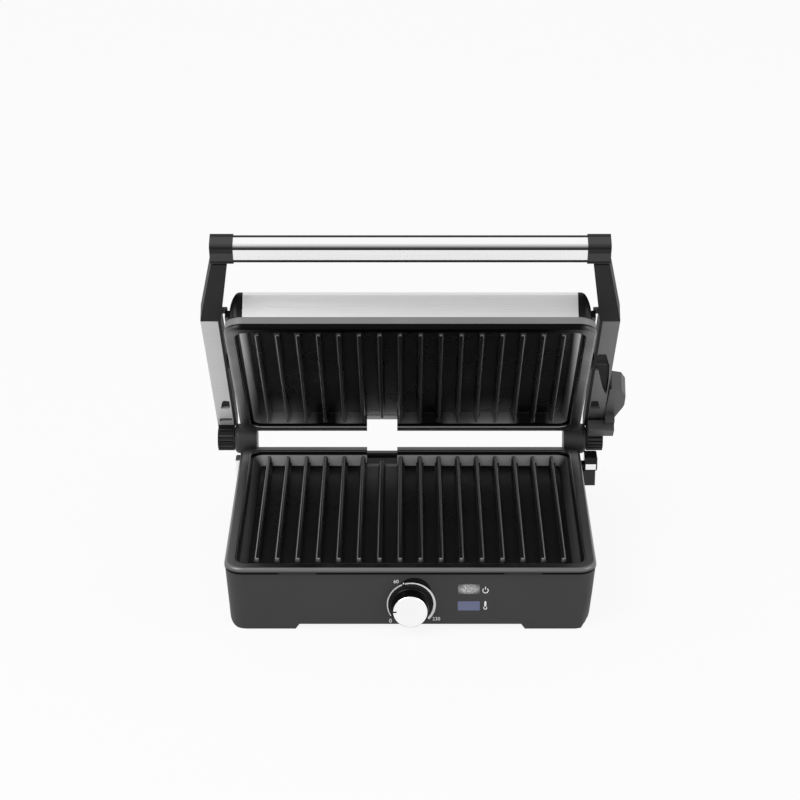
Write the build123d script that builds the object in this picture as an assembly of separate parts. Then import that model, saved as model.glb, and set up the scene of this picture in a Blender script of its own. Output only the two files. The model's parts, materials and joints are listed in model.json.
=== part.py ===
from build123d import *
from math import cos, radians, sin
import os

# Contact grill with a floating, overhanging lid, a through handle bar and removable ribbed plates.
# The frame is the object's own: +X to its right, +Y to its back, +Z up, with the origin on the table under
# the middle of the base. Everything that swings is drawn with the grill shut, where a place is given as
# reach (forwards from the hinge axis) and rise (above it), and is then turned back to its open rest pose.

# Ribbed plates, alike but for the side they face
plate_width = 297.6
plate_depth = 234.0
plate_corner = 15.0
corner_share = 0.6
least_corner = 3.0
lip_height = 4.6
lip_width = 9.5
lip_rounding = 1.3
lip_step = 3.0
lip_ledge = 2.0
tray_depth = 11.5
slope_run = 6.0
plate_wall = 2.6
groove_inset = 2.4
groove_width = 4.6
groove_depth = 2.4
rib_count = 16
rib_pitch = 16.5
rib_width = 5.2
rib_height = 4.6
rib_draft = 13.0
rib_front_inset = 30.0
rib_rear_inset = 13.5
spout_width = 26.5
spout_reach = 0.5

# Base
base_depth = 257.0
base_top_width = 296.5
base_bottom_width = 289.5
base_corner = 14.0
base_wall = 2.6
base_bottom_rounding = 8.0
skirt_lift = 0.3
arch_width = 178.0
arch_height = 4.6
arch_slant = 4.0
housing_gap = 2.2
plate_overhang = 2.5
deck_height = 40.0
deck_wall = 2.5

# Hinge, set behind the plates at the height where they meet
hinge_height = 57.0
hinge_setback = 14.4
plate_gap = 2.0
hinge_pin_radius = 4.0
tower_radius = 13.2
tower_rounding = 4.0
tower_depth = 12.95
tower_web_stand = 1.75
tower_web_height = 13.4
tower_gusset = 10.0
knuckle_radius = 10.6
knuckle_step = 2.5
knuckle_flutes = 13
flute_radius = 1.3
open_angle = 44.5

# Handle
arm_gap = 8.5
arm_width = 16.6
arm_foot_rise = 7.0
arm_depth = 14.5
elbow_reach = 215.0
elbow_rise = 22.0
bar_reach = 301.0
bar_rise = 46.6
bar_depth = 19.0
bar_thickness = 15.0
bar_corner = 3.5
bar_tilt = 19.0
bar_half_length = 137.9
bar_wall = 1.8
bar_plug = 12.0
head_width = 12.7
head_cap = 18.0
head_stand = 0.6
cover_thickness = 2.2
cover_start = 13.0
cover_end = 214.0
# Corners of the cover's dark windows, each (distance from the arm's inner side, reach)
window_near = [(3.4, 47.0), (3.4, 62.0), (8.0, 63.0), (9.4, 61.5), (11.8, 47.0)]
window_foot = [(3.4, 19.0), (3.4, 26.6), (13.2, 26.6), (14.6, 24.0), (14.6, 19.0)]
lever_window = [(3.4, 154.0), (9.6, 154.0), (14.0, 132.0), (15.2, 105.0), (15.4, 78.0), (14.2, 78.0),
                (10.8, 91.0), (7.8, 108.0), (5.4, 123.0), (1.0, 125.0), (1.0, 147.0)]
end_disc_radius = 9.4
end_disc_thickness = 1.6
peg_radius = 2.8
peg_reach = 220.0
peg_root = 5.0

# Lid
lid_height = 35.0
frame_height = 6.4
frame_setback = 0.5
cover_half_width = 133.7
end_cap_width = 10.9
cover_sheet = 1.2
cover_edge_radius = 4.0
cover_front_inset = 2.2
end_cap_shoulder = 21.0
end_cap_corner = 7.0
end_cap_wall = 2.4
lid_pivot_reach = 133.0
lid_pivot_rise = 20.0
lid_boss_radius = 6.8
lid_pin_radius = 3.0
ear_stand = 4.7
ear_length = 13.0
ear_depth = 6.0
ear_overlap = 1.7

# Heating, alike in the base and the lid
element_radius = 3.25
element_half_width = 96.0
element_half_depth = 76.0
element_lead = 34.0
element_bend = 22.0
element_gap = 1.6
reflector_width = 274.0
reflector_depth = 206.0
reflector_corner = 10.0
reflector_sheet = 0.8
reflector_flange = 9.0
reflector_drop = 7.0
clip_width = 8.0
clip_sheet = 0.8
fuse_radius = 3.3
fuse_length = 14.0
fuse_tab = 1.0

# Front panel
knob_height = 22.8
knob_radius = 14.1
knob_reach = 14.2
skirt_radius = 17.8
skirt_thickness = 2.0
face_radius = 13.6
face_thickness = 1.2
dial_radius = 18.8
dial_thickness = 0.6
shaft_radius = 3.0
bush_radius = 4.9
nut_width = 14.0
nut_thickness = 2.2
thermostat_width = 26.0
thermostat_depth = 13.0
window_width = 17.6
window_x = 46.8
power_window_height = 9.0
power_window_z = 36.2
ready_window_height = 8.2
ready_window_z = 21.0
window_flange = 1.2
board_gap = 5.0
board_sheet = 1.6
lamp_radius = 2.5

# Fastening, feet and drip tray
foot_radius = 9.0
foot_x = 112.0
foot_y = 96.0
floor_sheet = 2.5
ledge_width = 3.0
post_radius = 4.2
post_web = 2.0
post_inset = 12.15
post_front_y = -101.0
post_rear_y = 78.0
screw_radius = 1.6
screw_head_radius = 3.2
screw_head_height = 1.8
vent_count = 7
tray_width = 92.0
tray_length = 36.0
tray_height = 20.0
tray_wall = 1.8
tray_front = 2.4
tray_grip = 3.0
rail_height = 2.0
button_y = 97.0
button_length = 15.0
button_height = 12.4
button_z = 44.7
button_outer_x = 164.3
button_stem = 4.4
button_stem_length = 9.0
button_travel = 4.5
trim_length = 9.0
trim_height = 5.2
trim_sheet = 1.2
guard_outer_x = 162.6
guard_drop = 14.0
latch_trim_outer_x = 154.0
latch_trim_length = 12.0
latch_trim_height = 16.0
latch_trim_z = 39.5
lever_pivot_reach = 45.0
lever_pivot_rise = 14.0
lever_pin_radius = 2.5
lever_stand = 15.5
lever_foot_stand = 8.6
lever_rounding = 1.6
gland_x = 96.0
gland_z = 18.0
gland_radius = 7.5
gland_bore = 3.75
gland_reach = 3.0

# Clearances
running = 0.05
fit = 0.15
free = 0.4
seat = 0.3

# Worked out from the above
lip_top = hinge_height - plate_gap / 2
plate_front_y = -base_depth / 2 - plate_overhang
plate_rear_y = plate_front_y + plate_depth
plate_y = (plate_front_y + plate_rear_y) / 2
hinge_y = plate_rear_y + hinge_setback
housing_top = lip_top - lip_height - housing_gap
plate_bottom = tray_depth + plate_wall
panel_y = -base_depth / 2
arch_roof = arch_height
floor_top = arch_roof + floor_sheet
element_drop = plate_bottom + element_gap + element_radius
reflector_floor = element_drop + element_radius + seat + reflector_sheet
reflector_rim = reflector_floor - reflector_drop
spout_x = -1.5 * rib_pitch
post_x = base_bottom_width / 2 - post_inset
lid_half_width = cover_half_width + end_cap_width
arm_inner_x = lid_half_width + arm_gap
arm_outer_x = arm_inner_x + arm_width
knuckle_inner_x = arm_inner_x + knuckle_step
tower_outer_x = knuckle_inner_x - 2 * seat
tower_inner_x = base_top_width / 2 - tower_depth
tower_web_outer_x = base_top_width / 2 + tower_web_stand
head_outer_x = bar_half_length + head_cap
head_inner_x = head_outer_x - head_width
ear_outer_x = lid_half_width + ear_stand
lever_outer_x = arm_outer_x + lever_stand


def block(x0, x1, y0, y1, z0, z1):
    """A box between two corners."""
    size = (x1 - x0, y1 - y0, z1 - z0)
    return Pos((x0 + x1) / 2, (y0 + y1) / 2, (z0 + z1) / 2) * Box(*size)


def slab(width, depth, corner, low, high):
    """An upright prism on a rectangle with round corners."""
    return Pos(0, 0, low) * extrude(RectangleRounded(width, depth, corner), high - low)


def funnel(low_size, high_size, low, high):
    """Straight walls between two rectangles with round corners, each (width, depth, corner)."""
    sections = [Pos(0, 0, low) * RectangleRounded(*low_size), Pos(0, 0, high) * RectangleRounded(*high_size)]
    return loft(sections, ruled=True)


def rod_x(radius, x0, x1, y, z):
    """A round rod along X."""
    return Pos((x0 + x1) / 2, y, z) * Rot(0, 90, 0) * Cylinder(radius, abs(x1 - x0))


def rod_y(radius, y0, y1, x, z):
    """A round rod along Y."""
    return Pos(x, (y0 + y1) / 2, z) * Rot(90, 0, 0) * Cylinder(radius, abs(y1 - y0))


def rod_z(radius, z0, z1, x, y):
    """An upright round rod."""
    return Pos(x, y, (z0 + z1) / 2) * Cylinder(radius, abs(z1 - z0))


def shut(reach, rise):
    """The (y, z) of a point of the shut lid or handle."""
    return hinge_y - reach, hinge_height + rise


def opened(shape):
    """Turn a shape drawn shut to the open rest pose."""
    turn = Pos(0, hinge_y, hinge_height) * Rot(-open_angle, 0, 0) * Pos(0, -hinge_y, -hinge_height)
    return turn * shape


def side_profile(points):
    """A flat outline in the upright plane at X = 0, from (reach, rise) points."""
    corners = [(0.0, *shut(reach, rise)) for reach, rise in points]
    return make_face(Polyline(*corners, close=True))


def across(face, x0, x1):
    """Carry an outline of the upright plane at X = 0 from x0 to x1."""
    return Pos(x0, 0, 0) * extrude(face, x1 - x0, dir=(1, 0, 0))


def mirrored(shape):
    return mirror(shape, Plane.YZ)


def both_sides(shape):
    return Compound(children=[*shape.solids(), *mirrored(shape).solids()])


def group(shapes):
    """Separate solids that share one node."""
    solids = [solid for shape in shapes for solid in shape.solids()]
    return Compound(children=solids)


def inset(amount):
    """The plate's outline, drawn in by an amount all round."""
    corner = max(plate_corner - amount * corner_share, least_corner)
    return (plate_width - 2 * amount, plate_depth - 2 * amount, corner)


def spout_block(gap):
    """The outer form of the plate's spout, grown by a gap, which its neighbours leave free."""
    cheek = spout_width / 2 + plate_wall + gap
    rear = plate_depth / 2
    front = rear - lip_width - lip_ledge - slope_run
    return block(spout_x - cheek, spout_x + cheek, front, rear + spout_reach + gap, -plate_bottom - gap, 0)


def grill_plate():
    """Cast plate, lip uppermost at height 0: a ribbed tray with a stepped lip and a spout at the back."""
    flange = slab(*inset(0), -lip_height, 0)
    flange = fillet(flange.edges().group_by(Axis.Z)[-1], lip_rounding)
    wall_inset = lip_width + lip_ledge - plate_wall
    tub_top = inset(wall_inset)
    tub_floor = inset(wall_inset + slope_run)
    tub = funnel(tub_floor, tub_top, -plate_bottom, -lip_height + plate_wall / 2)
    groove = slab(*inset(groove_inset), -lip_height, -lip_height + groove_depth)
    groove -= slab(*inset(groove_inset + groove_width), -lip_height, -lip_height + groove_depth)
    well = slab(*inset(lip_width), -lip_step, 1)
    slope_top = inset(lip_width + lip_ledge)
    slope_floor = inset(lip_width + lip_ledge + slope_run)
    well += funnel(slope_floor, slope_top, -tray_depth, -lip_step)
    rear = plate_depth / 2
    spout = spout_block(0) & block(-plate_width, plate_width, 0, plate_depth, -tray_depth * 2, -lip_rounding)
    channel = block(spout_x - spout_width / 2, spout_x + spout_width / 2,
                    rear - lip_width - lip_ledge - slope_run, rear + spout_reach + 1, -tray_depth, 1)
    body = flange - groove + tub + spout - well - channel
    length = plate_depth - rib_front_inset - rib_rear_inset
    middle = (rib_front_inset - rib_rear_inset) / 2
    outline = Rot(0, 0, 90) * SlotOverall(length, rib_width)
    rib = Pos(0, middle, -tray_depth) * extrude(outline, rib_height, taper=rib_draft)
    first = -(rib_count - 1) / 2 * rib_pitch
    return body + [Pos(first + i * rib_pitch, 0, 0) * rib for i in range(rib_count)]


def element_path():
    """The heater's centre line: a round-cornered loop with both ends at the back."""
    w, d = element_half_width, element_half_depth
    corners = [(-element_lead, d), (-w, d), (-w, -d), (w, -d), (w, d), (element_lead, d)]
    return FilletPolyline(*[(x, y, -element_drop) for x, y in corners], radius=element_bend)


def heating_element():
    path = element_path()
    section = Plane(origin=path @ 0, z_dir=path % 0) * Circle(element_radius)
    return sweep(section, path=path)


def reflector():
    """Pressed pan under the heater, with a flat rim all round and two holes for its clips' rivets."""
    under = -reflector_rim - reflector_sheet
    rim = slab(reflector_width, reflector_depth, reflector_corner, under, -reflector_rim)
    top = (reflector_width - 2 * reflector_flange, reflector_depth - 2 * reflector_flange, reflector_corner)
    low = (top[0] - reflector_drop, top[1] - reflector_drop, reflector_corner)
    thin = 2 * reflector_sheet
    pan = funnel(low, top, -reflector_floor, -reflector_rim)
    inner_low = (low[0] - thin, low[1] - thin, low[2] - reflector_sheet)
    inner_top = (top[0] - thin, top[1] - thin, top[2] - reflector_sheet)
    hollow = funnel(inner_low, inner_top, -reflector_floor + reflector_sheet, -reflector_rim)
    return rim + pan - hollow


def element_clip(x, y):
    """A strap that bridges the heater and stands on the pan."""
    low = -reflector_floor + reflector_sheet
    half = element_radius + fit
    high = -element_drop + half + clip_sheet
    strap = block(-clip_width / 2, clip_width / 2, -half - clip_sheet, half + clip_sheet, low, high)
    strap -= block(-clip_width, clip_width, -half, half, low - 1, -element_drop)
    strap -= rod_x(half, -clip_width, clip_width, 0, -element_drop)
    feet = block(-clip_width / 2, clip_width / 2, -half - 3 * clip_width / 4, -half, low, low + clip_sheet)
    feet += block(-clip_width / 2, clip_width / 2, half, half + 3 * clip_width / 4, low, low + clip_sheet)
    return Pos(x, y, 0) * (strap + feet)


def element_clips():
    places = [(-element_half_width / 2, -element_half_depth), (element_half_width / 2, -element_half_depth)]
    low = [element_clip(x, y) for x, y in places]
    side = Rot(0, 0, 90) * element_clip(0, element_half_width)
    other = Rot(0, 0, 90) * element_clip(0, -element_half_width)
    return group([*low, side, other])


def thermal_fuse():
    """A cut-out cylinder lying on the pan, between two tab ends."""
    z = -reflector_floor + reflector_sheet + fuse_radius
    body = rod_x(fuse_radius, -fuse_length / 2, fuse_length / 2, 0, z)
    low = z - fuse_radius
    tabs = block(-fuse_length, fuse_length, -fuse_radius / 2, fuse_radius / 2, low, low + fuse_tab)
    return body + tabs


def under_lower_lip(shape):
    return Pos(0, plate_y, lip_top) * shape


def over_upper_lip(shape):
    """Turn a shape made for the lower plate upside down on to the lid, keeping its sides and its back."""
    flipped = mirror(shape, Plane.XY)
    return opened(Pos(0, plate_y, lip_top + plate_gap) * flipped)


def housing_shell(gap, low, high):
    """The base's outer form, drawn in by a gap and cut to a height."""
    full = housing_top - skirt_lift
    def width_at(z):
        share = (z - skirt_lift) / full
        return base_bottom_width + (base_top_width - base_bottom_width) * share - 2 * gap
    corner = base_corner - gap / 2
    depth = base_depth - 2 * gap
    return funnel((width_at(low), depth, corner), (width_at(high), depth, corner), low, high)


def front_outline():
    """The base as seen from the front, with round lower corners, carried from front to back."""
    low, high = base_bottom_width / 2, base_top_width / 2
    corners = [(-low, skirt_lift), (low, skirt_lift), (high, housing_top), (-high, housing_top)]
    face = Plane.XZ * make_face(Polyline(*corners, close=True))
    face = fillet(face.vertices().group_by(Axis.Z)[0], base_bottom_rounding)
    return extrude(face, base_depth, both=True)


def hinge_tower():
    """The right-hand tower: a round boss on a web that stands on the base's side."""
    boss = rod_x(tower_radius, tower_inner_x, tower_outer_x, hinge_y, hinge_height)
    boss = fillet(boss.edges().sort_by(Axis.X)[-1], tower_rounding)
    low = housing_top - tower_web_height - base_wall
    rear = base_depth / 2
    front = hinge_y - tower_radius * 0.9
    web = block(tower_inner_x, tower_web_outer_x, front, rear, low, hinge_height)
    corners = [(tower_inner_x, low - tower_gusset), (tower_web_outer_x, low), (tower_inner_x, low)]
    slant = Polyline(*corners, close=True)
    gusset = Pos(0, rear, 0) * extrude(Plane.XZ * make_face(slant), rear - front)
    return boss + web + gusset


def plate_seats():
    """Short walls on the rim that stand in the groove under the plate's lip."""
    top = lip_top - lip_height + groove_depth - seat
    x = plate_width / 2 - groove_inset - groove_width / 2
    half = groove_width / 2 - seat
    seats = [block(-x - half, -x + half, y, y + 30, housing_top - 3, top) for y in (-96, 36)]
    seats += [mirrored(one) for one in seats]
    y = plate_front_y + groove_inset + groove_width / 2
    seats += [block(x0, x0 + 30, y - half, y + half, housing_top - 3, top) for x0 in (-105, 75)]
    return seats


def screw_places():
    return [(x, y) for x in (-post_x, post_x) for y in (post_front_y, post_rear_y)]


def window_places():
    return [(power_window_z, power_window_height), (ready_window_z, ready_window_height)]


def lower_housing():
    """Moulded tub, open above and below, with the panel, the hinge towers and the spout's deck."""
    outer = housing_shell(0, skirt_lift, housing_top) & front_outline()
    inner = housing_shell(base_wall, skirt_lift - 1, housing_top + 1)
    shell = outer - inner
    rear = base_depth / 2
    well_rear = plate_rear_y - groove_inset - groove_width
    far = base_top_width
    shell -= block(-far, far, well_rear, rear + 1, deck_height, housing_top + 1)
    deck = housing_shell(base_wall / 2, deck_height - deck_wall, deck_height)
    deck &= block(-far, far, well_rear - deck_wall, rear, 0, far)
    back_wall = housing_shell(base_wall / 2, deck_height - deck_wall, housing_top)
    back_wall &= block(-far, far, well_rear - deck_wall, well_rear, 0, far)
    shell += [deck, back_wall, *plate_seats()]
    tower = hinge_tower()
    shell += [tower, mirrored(tower), release_guard()]
    ledge = housing_shell(base_wall / 2, floor_top, floor_top + 2)
    ledge -= housing_shell(base_wall + ledge_width, floor_top - 1, floor_top + 3)
    shell += ledge
    post_top = lip_top - reflector_rim - reflector_sheet
    for x, y in screw_places():
        shell += rod_z(post_radius, floor_top, post_top, x, y)
        wall_x = x / abs(x) * (base_bottom_width - base_wall) / 2
        x_low, x_high = min(x, wall_x), max(x, wall_x)
        shell += block(x_low, x_high, y - post_web / 2, y + post_web / 2, floor_top, post_top)
        shell -= rod_z(screw_radius + running, floor_top - 1, floor_top + 14, x, y)
    return shell - housing_openings()


def release_guard():
    """The block under the release button, standing out of the base's right side."""
    top = button_z - button_height / 2 - free
    half = button_length / 2
    inner = base_bottom_width / 2 - base_wall / 2
    return block(inner, guard_outer_x, button_y - half, button_y + half, top - guard_drop, top)


def housing_openings():
    """Everything cut from the base: arches, panel holes, the spout's drain and the rear openings."""
    front = panel_y - 1
    reach = 2 * base_wall + 2
    cuts = []
    half = arch_width / 2
    foot = half + arch_slant
    arch = Polyline((-foot, -1), (-half, arch_roof), (half, arch_roof), (foot, -1), close=True)
    cuts.append(Pos(0, base_depth, 0) * extrude(Plane.XZ * make_face(arch), 2 * base_depth))
    cuts.append(rod_y(bush_radius + fit, front, panel_y + reach, 0, knob_height))
    cuts.append(rod_y(dial_radius + fit, front, panel_y + dial_thickness, 0, knob_height))
    for z, height in window_places():
        x0, x1 = window_x - window_width / 2 - fit, window_x + window_width / 2 + fit
        cuts.append(block(x0, x1, front, panel_y + reach, z - height / 2 - fit, z + height / 2 + fit))
    rear = base_depth / 2
    drain = spout_width / 2 + 4
    cuts.append(block(spout_x - drain, spout_x + drain, plate_rear_y - 3, rear - 2 * base_wall,
                      deck_height - deck_wall - 1, deck_height + 1))
    half = tray_width / 2 + free
    cuts.append(block(spout_x - half, spout_x + half, rear - base_wall - ledge_width - 1, rear + 1,
                      floor_top - 1, floor_top + rail_height + tray_height + 2 * free))
    cuts.append(under_lower_lip(spout_block(free)))
    cuts.append(rod_y(gland_radius - base_wall / 2 + fit, rear - reach, rear + 1, gland_x, gland_z))
    stem = button_stem + free
    low = button_z - button_height / 2
    side = base_top_width / 2
    cuts.append(block(side - button_stem_length - free, side + 3, button_y - stem, button_y + stem,
                      low - free, low + stem))
    inner = tower_inner_x + base_wall
    bore = rod_x(hinge_pin_radius + running, inner, tower_outer_x + 1, hinge_y, hinge_height)
    cuts.extend([bore, mirrored(bore)])
    return cuts


def bottom_cover():
    """Floor of the base: a flat pan with vents, four foot bosses and two rails for the drip tray."""
    plate = housing_shell(base_wall + fit, arch_roof, floor_top)
    cover = plate
    for x, y in screw_places():
        cover -= rod_z(screw_radius + fit, 0, floor_top + 1, x, y)
        cover -= rod_z(screw_head_radius + fit, 0, arch_roof + screw_head_height, x, y)
    for i in range(vent_count):
        y = (i - (vent_count - 1) / 2) * 12 - 20
        for x in (-45, 45):
            cover -= Pos(x, y, arch_roof) * extrude(SlotOverall(56, 4), 4 * floor_sheet, both=True)
    rear = base_depth / 2 - base_wall - ledge_width - free
    for side in (-1, 1):
        x = spout_x + side * tray_width / 2 * 0.7
        cover += block(x - 2, x + 2, rear - tray_length, rear, floor_top, floor_top + rail_height)
    return cover


def foot_pads():
    """Four rubber pads under the floor."""
    pad = rod_z(foot_radius, 0, arch_roof, 0, 0)
    pad = chamfer(pad.edges().group_by(Axis.Z)[0], 0.8)
    return group([Pos(x, y, 0) * pad for x in (-foot_x, foot_x) for y in (-foot_y, foot_y)])


def bottom_screws():
    screws = []
    for x, y in screw_places():
        shank = rod_z(screw_radius - running, arch_roof + 0.2, floor_top + 12, x, y)
        head = rod_z(screw_head_radius, arch_roof + 0.2, arch_roof + screw_head_height, x, y)
        screws.append(shank + head)
    return group(screws)


def grease_tray():
    """Open drip box under the spout, with a pull lip on its outer wall."""
    rear = base_depth / 2
    low = floor_top + rail_height + seat
    high = low + tray_height
    box = block(spout_x - tray_width / 2, spout_x + tray_width / 2, rear - tray_length, rear, low, high)
    box -= block(spout_x - tray_width / 2 + tray_wall, spout_x + tray_width / 2 - tray_wall,
                 rear - tray_length + tray_wall, rear - tray_front, low + tray_wall, high + 1)
    grip = block(spout_x - 16, spout_x + 16, rear, rear + tray_grip, high - 2 * tray_grip, high - tray_grip)
    grip = fillet(grip.edges().filter_by(Axis.Z).sort_by(Axis.Y)[-2:], tray_grip / 2)
    return box + grip


def hinge_pins():
    pin = rod_x(hinge_pin_radius, tower_inner_x + base_wall, arm_outer_x - end_disc_thickness - seat,
                hinge_y, hinge_height)
    pin = chamfer(pin.edges(), 0.5)
    return both_sides(pin)


def cord_gland():
    """Flanged rubber bush in the rear wall for the supply lead."""
    rear = base_depth / 2
    neck = gland_radius - base_wall / 2
    bush = rod_y(neck, rear - 2 * base_wall, rear + gland_reach, gland_x, gland_z)
    bush += rod_y(gland_radius, rear, rear + 1.6, gland_x, gland_z)
    bush += rod_y(gland_radius, rear - 2 * base_wall, rear - base_wall, gland_x, gland_z)
    return bush - rod_y(gland_bore, rear - 3 * base_wall, rear + 2 * gland_reach, gland_x, gland_z)


def terminal_block():
    """Screw connector on the floor, near the gland."""
    low = floor_top
    y = base_depth / 2 - 40
    body = block(gland_x - 20, gland_x + 12, y - 9, y + 9, low, low + 12)
    body = chamfer(body.edges().group_by(Axis.Z)[-1], 1)
    for i in range(3):
        body -= rod_z(2.2, low + 7, low + 13, gland_x - 14 + i * 10, y)
    return body


def thermostat():
    """Switch body behind the panel, with its threaded bush."""
    back = panel_y + base_wall
    half = thermostat_width / 2
    low, high = knob_height - half + 2, knob_height + half - 2
    body = block(-half, half, back + 2, back + 2 + thermostat_depth, low, high)
    body = chamfer(body.edges().filter_by(Axis.Y), 3)
    body += block(-half + 4, half - 4, back, back + 2, knob_height - 7, knob_height + 7)
    body += rod_y(bush_radius, panel_y - nut_thickness - 0.3, back + 3, 0, knob_height)
    bore_front = panel_y - 2 * nut_thickness
    return body - rod_y(shaft_radius + running, bore_front, back + thermostat_depth, 0, knob_height)


def thermostat_nut():
    """Hexagon nut that clamps the bush to the dial plate."""
    hexagon = RegularPolygon(nut_width / 2, 6, major_radius=False)
    nut = Pos(0, panel_y, knob_height) * extrude(Plane.XZ * hexagon, nut_thickness)
    return nut - rod_y(bush_radius + running, panel_y - 2 * nut_thickness, panel_y + 1, 0, knob_height)


def dial_plate():
    """Thin round plate let into the panel round the knob."""
    disc = rod_y(dial_radius, panel_y, panel_y + dial_thickness - running, 0, knob_height)
    return disc - rod_y(bush_radius + fit, panel_y - 1, panel_y + 1, 0, knob_height)


def thermostat_shaft():
    inner_end = panel_y + base_wall + thermostat_depth - 1
    shaft = rod_y(shaft_radius, panel_y - knob_reach + 4, inner_end, 0, knob_height)
    flat = block(-9, 9, panel_y - knob_reach, panel_y - 3, knob_height + shaft_radius - 1.2, knob_height + 9)
    return shaft - flat


def knob():
    """Stepped skirt and a slightly tapered grip, hollowed on the shaft."""
    gap = seat
    tip = knob_reach - face_thickness
    points = [(0, gap), (skirt_radius, gap), (skirt_radius, gap + skirt_thickness),
              (skirt_radius - 1.6, gap + skirt_thickness + 0.7),
              (skirt_radius - 1.6, gap + 2 * skirt_thickness),
              (knob_radius + 1.2, gap + 2 * skirt_thickness + 0.8), (knob_radius, tip), (0, tip)]
    outline = make_face(Polyline(*[(r, -h) for r, h in points], close=True))
    turned = revolve(outline, Axis.Y)
    body = Pos(0, panel_y, knob_height) * turned
    body -= rod_y(shaft_radius + running, panel_y - knob_reach + 3, panel_y + 1, 0, knob_height)
    body -= rod_y(bush_radius + nut_width / 4, panel_y - 3, panel_y + 1, 0, knob_height)
    return body


def knob_face():
    """Bright disc on the end of the knob, with a pointer notch that points left at rest."""
    tip = panel_y - knob_reach
    disc = rod_y(face_radius, tip, tip + face_thickness, 0, knob_height)
    disc = chamfer(disc.faces().sort_by(Axis.Y)[0].edges(), 0.5)
    notch = block(-face_radius - 1, -face_radius + 2.6, tip - 1, tip + face_thickness / 2,
                  knob_height - 0.6, knob_height + 0.6)
    return disc - notch


def window_lens(z, height):
    """Clear window with a flange behind the panel."""
    back = panel_y + base_wall
    x0, x1 = window_x - window_width / 2, window_x + window_width / 2
    lens = block(x0, x1, panel_y - 0.1, back + 1.2, z - height / 2, z + height / 2)
    flange = block(x0 - window_flange, x1 + window_flange, back, back + 1.2,
                   z - height / 2 - window_flange, z + height / 2 + window_flange)
    return lens + flange


def indicator_board():
    """Circuit board on two spacers behind the windows."""
    near = panel_y + base_wall + board_gap
    low = ready_window_z - ready_window_height
    high = power_window_z + power_window_height
    sheet = block(window_x - 16, window_x + 16, near, near + board_sheet, low, high)
    middle = (low + high) / 2
    spacers = [rod_y(2.2, panel_y + base_wall, near, window_x + side * 13, middle) for side in (-1, 1)]
    return sheet + spacers


def indicator_lamps():
    near = panel_y + base_wall + board_gap
    lamps = [rod_y(lamp_radius, near - 3, near, window_x + dx, z)
             for z, _ in window_places() for dx in (-4, 4)]
    return group(lamps)


def release_button():
    """Push piece with a square stem that goes in through the base's side."""
    half = button_length / 2
    low, high = button_z - button_height / 2, button_z + button_height / 2
    inner = base_top_width / 2 + button_travel + free
    cap = block(inner, button_outer_x, button_y - half, button_y + half, low, high)
    cap = fillet(cap.faces().sort_by(Axis.X)[-1].edges(), 1.2)
    cap += block(inner - button_stem_length, inner + 1, button_y - button_stem, button_y + button_stem,
                 low, low + button_stem)
    return cap - release_button_trim()


def release_button_trim():
    """Bright strip let into the near face of the button."""
    near = button_y - button_length / 2
    low = button_z - button_height / 2 + 0.8
    edge = button_outer_x - 1.3
    return block(edge - trim_length, edge, near, near + trim_sheet, low, low + trim_height)


def latch_trim():
    """Bright cover over the fixed latch on the left side of the base."""
    half = latch_trim_length / 2
    low, high = latch_trim_z - latch_trim_height / 2, latch_trim_z + latch_trim_height / 2
    cap = block(-latch_trim_outer_x, -base_bottom_width / 2, button_y - half, button_y + half, low, high)
    cap = fillet(cap.faces().sort_by(Axis.X)[0].edges(), 1.5)
    return cap - housing_shell(0, skirt_lift, housing_top)


def arm_side():
    """The arm's outline from the side: a straight lower run with an elbow."""
    slope = (elbow_rise - arm_foot_rise) / elbow_reach
    top = arm_foot_rise + arm_depth
    return side_profile([(0, arm_foot_rise), (elbow_reach, elbow_rise), (elbow_reach, elbow_rise + arm_depth),
                         (4, top + slope * 4), (-6, arm_foot_rise + 3)])


def arm_underside(reach):
    return arm_foot_rise + (elbow_rise - arm_foot_rise) * reach / elbow_reach


def bar_outline(shrink):
    """The bar's section in the shut position, drawn in by an amount."""
    y, z = shut(bar_reach, bar_rise)
    corner = max(bar_corner - shrink, 0.8)
    level = RectangleRounded(bar_depth - 2 * shrink, bar_thickness - 2 * shrink, corner)
    section = Rot(0, 0, 180 - bar_tilt) * level
    return Pos(0, y, z) * (Plane.YZ * section)


def upper_section():
    """The arm above the elbow, which leans in towards the bar."""
    reach = bar_reach - bar_depth / 2 * 0.9
    y0, z0 = shut(elbow_reach, elbow_rise + arm_depth / 2)
    y1, z1 = shut(reach, bar_rise - bar_depth / 2 * sin(radians(bar_tilt)))
    elbow = Plane(((arm_inner_x + arm_outer_x) / 2, y0, z0), x_dir=(1, 0, 0), z_dir=(0, -1, 0))
    head = Plane(((head_inner_x + head_outer_x) / 2, y1, z1), x_dir=(1, 0, 0), z_dir=(0, -1, 0))
    low = elbow * Rectangle(arm_outer_x - arm_inner_x, arm_depth)
    high = head * Rectangle(head_outer_x - head_inner_x, bar_thickness * 0.96)
    return loft([low, high], ruled=True)


def arm_core():
    """The right arm before its cover is cut from it: knuckle, two sections and the bar's socket."""
    y, z = shut(0, 0)
    core = across(arm_side(), arm_inner_x, arm_outer_x)
    core -= rod_x(tower_radius + free, 0, knuckle_inner_x, y, z)
    core += rod_x(knuckle_radius, knuckle_inner_x, arm_outer_x, y, z)
    core += upper_section()
    core += across(bar_outline(-head_stand), bar_half_length, head_outer_x)
    core += across(bar_outline(bar_wall + fit), bar_half_length - bar_plug, bar_half_length)
    core -= rod_x(hinge_pin_radius + running, 0, arm_outer_x - end_disc_thickness, y, z)
    core -= rod_x(end_disc_radius + fit, arm_outer_x - end_disc_thickness, arm_outer_x + 1, y, z)
    return core - pivot_bore() - peg_bore()


def pivot_bore():
    y, z = shut(lid_pivot_reach, lid_pivot_rise)
    return rod_x(lid_pin_radius + running, arm_inner_x - 1, arm_outer_x - cover_thickness - 2, y, z)


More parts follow.
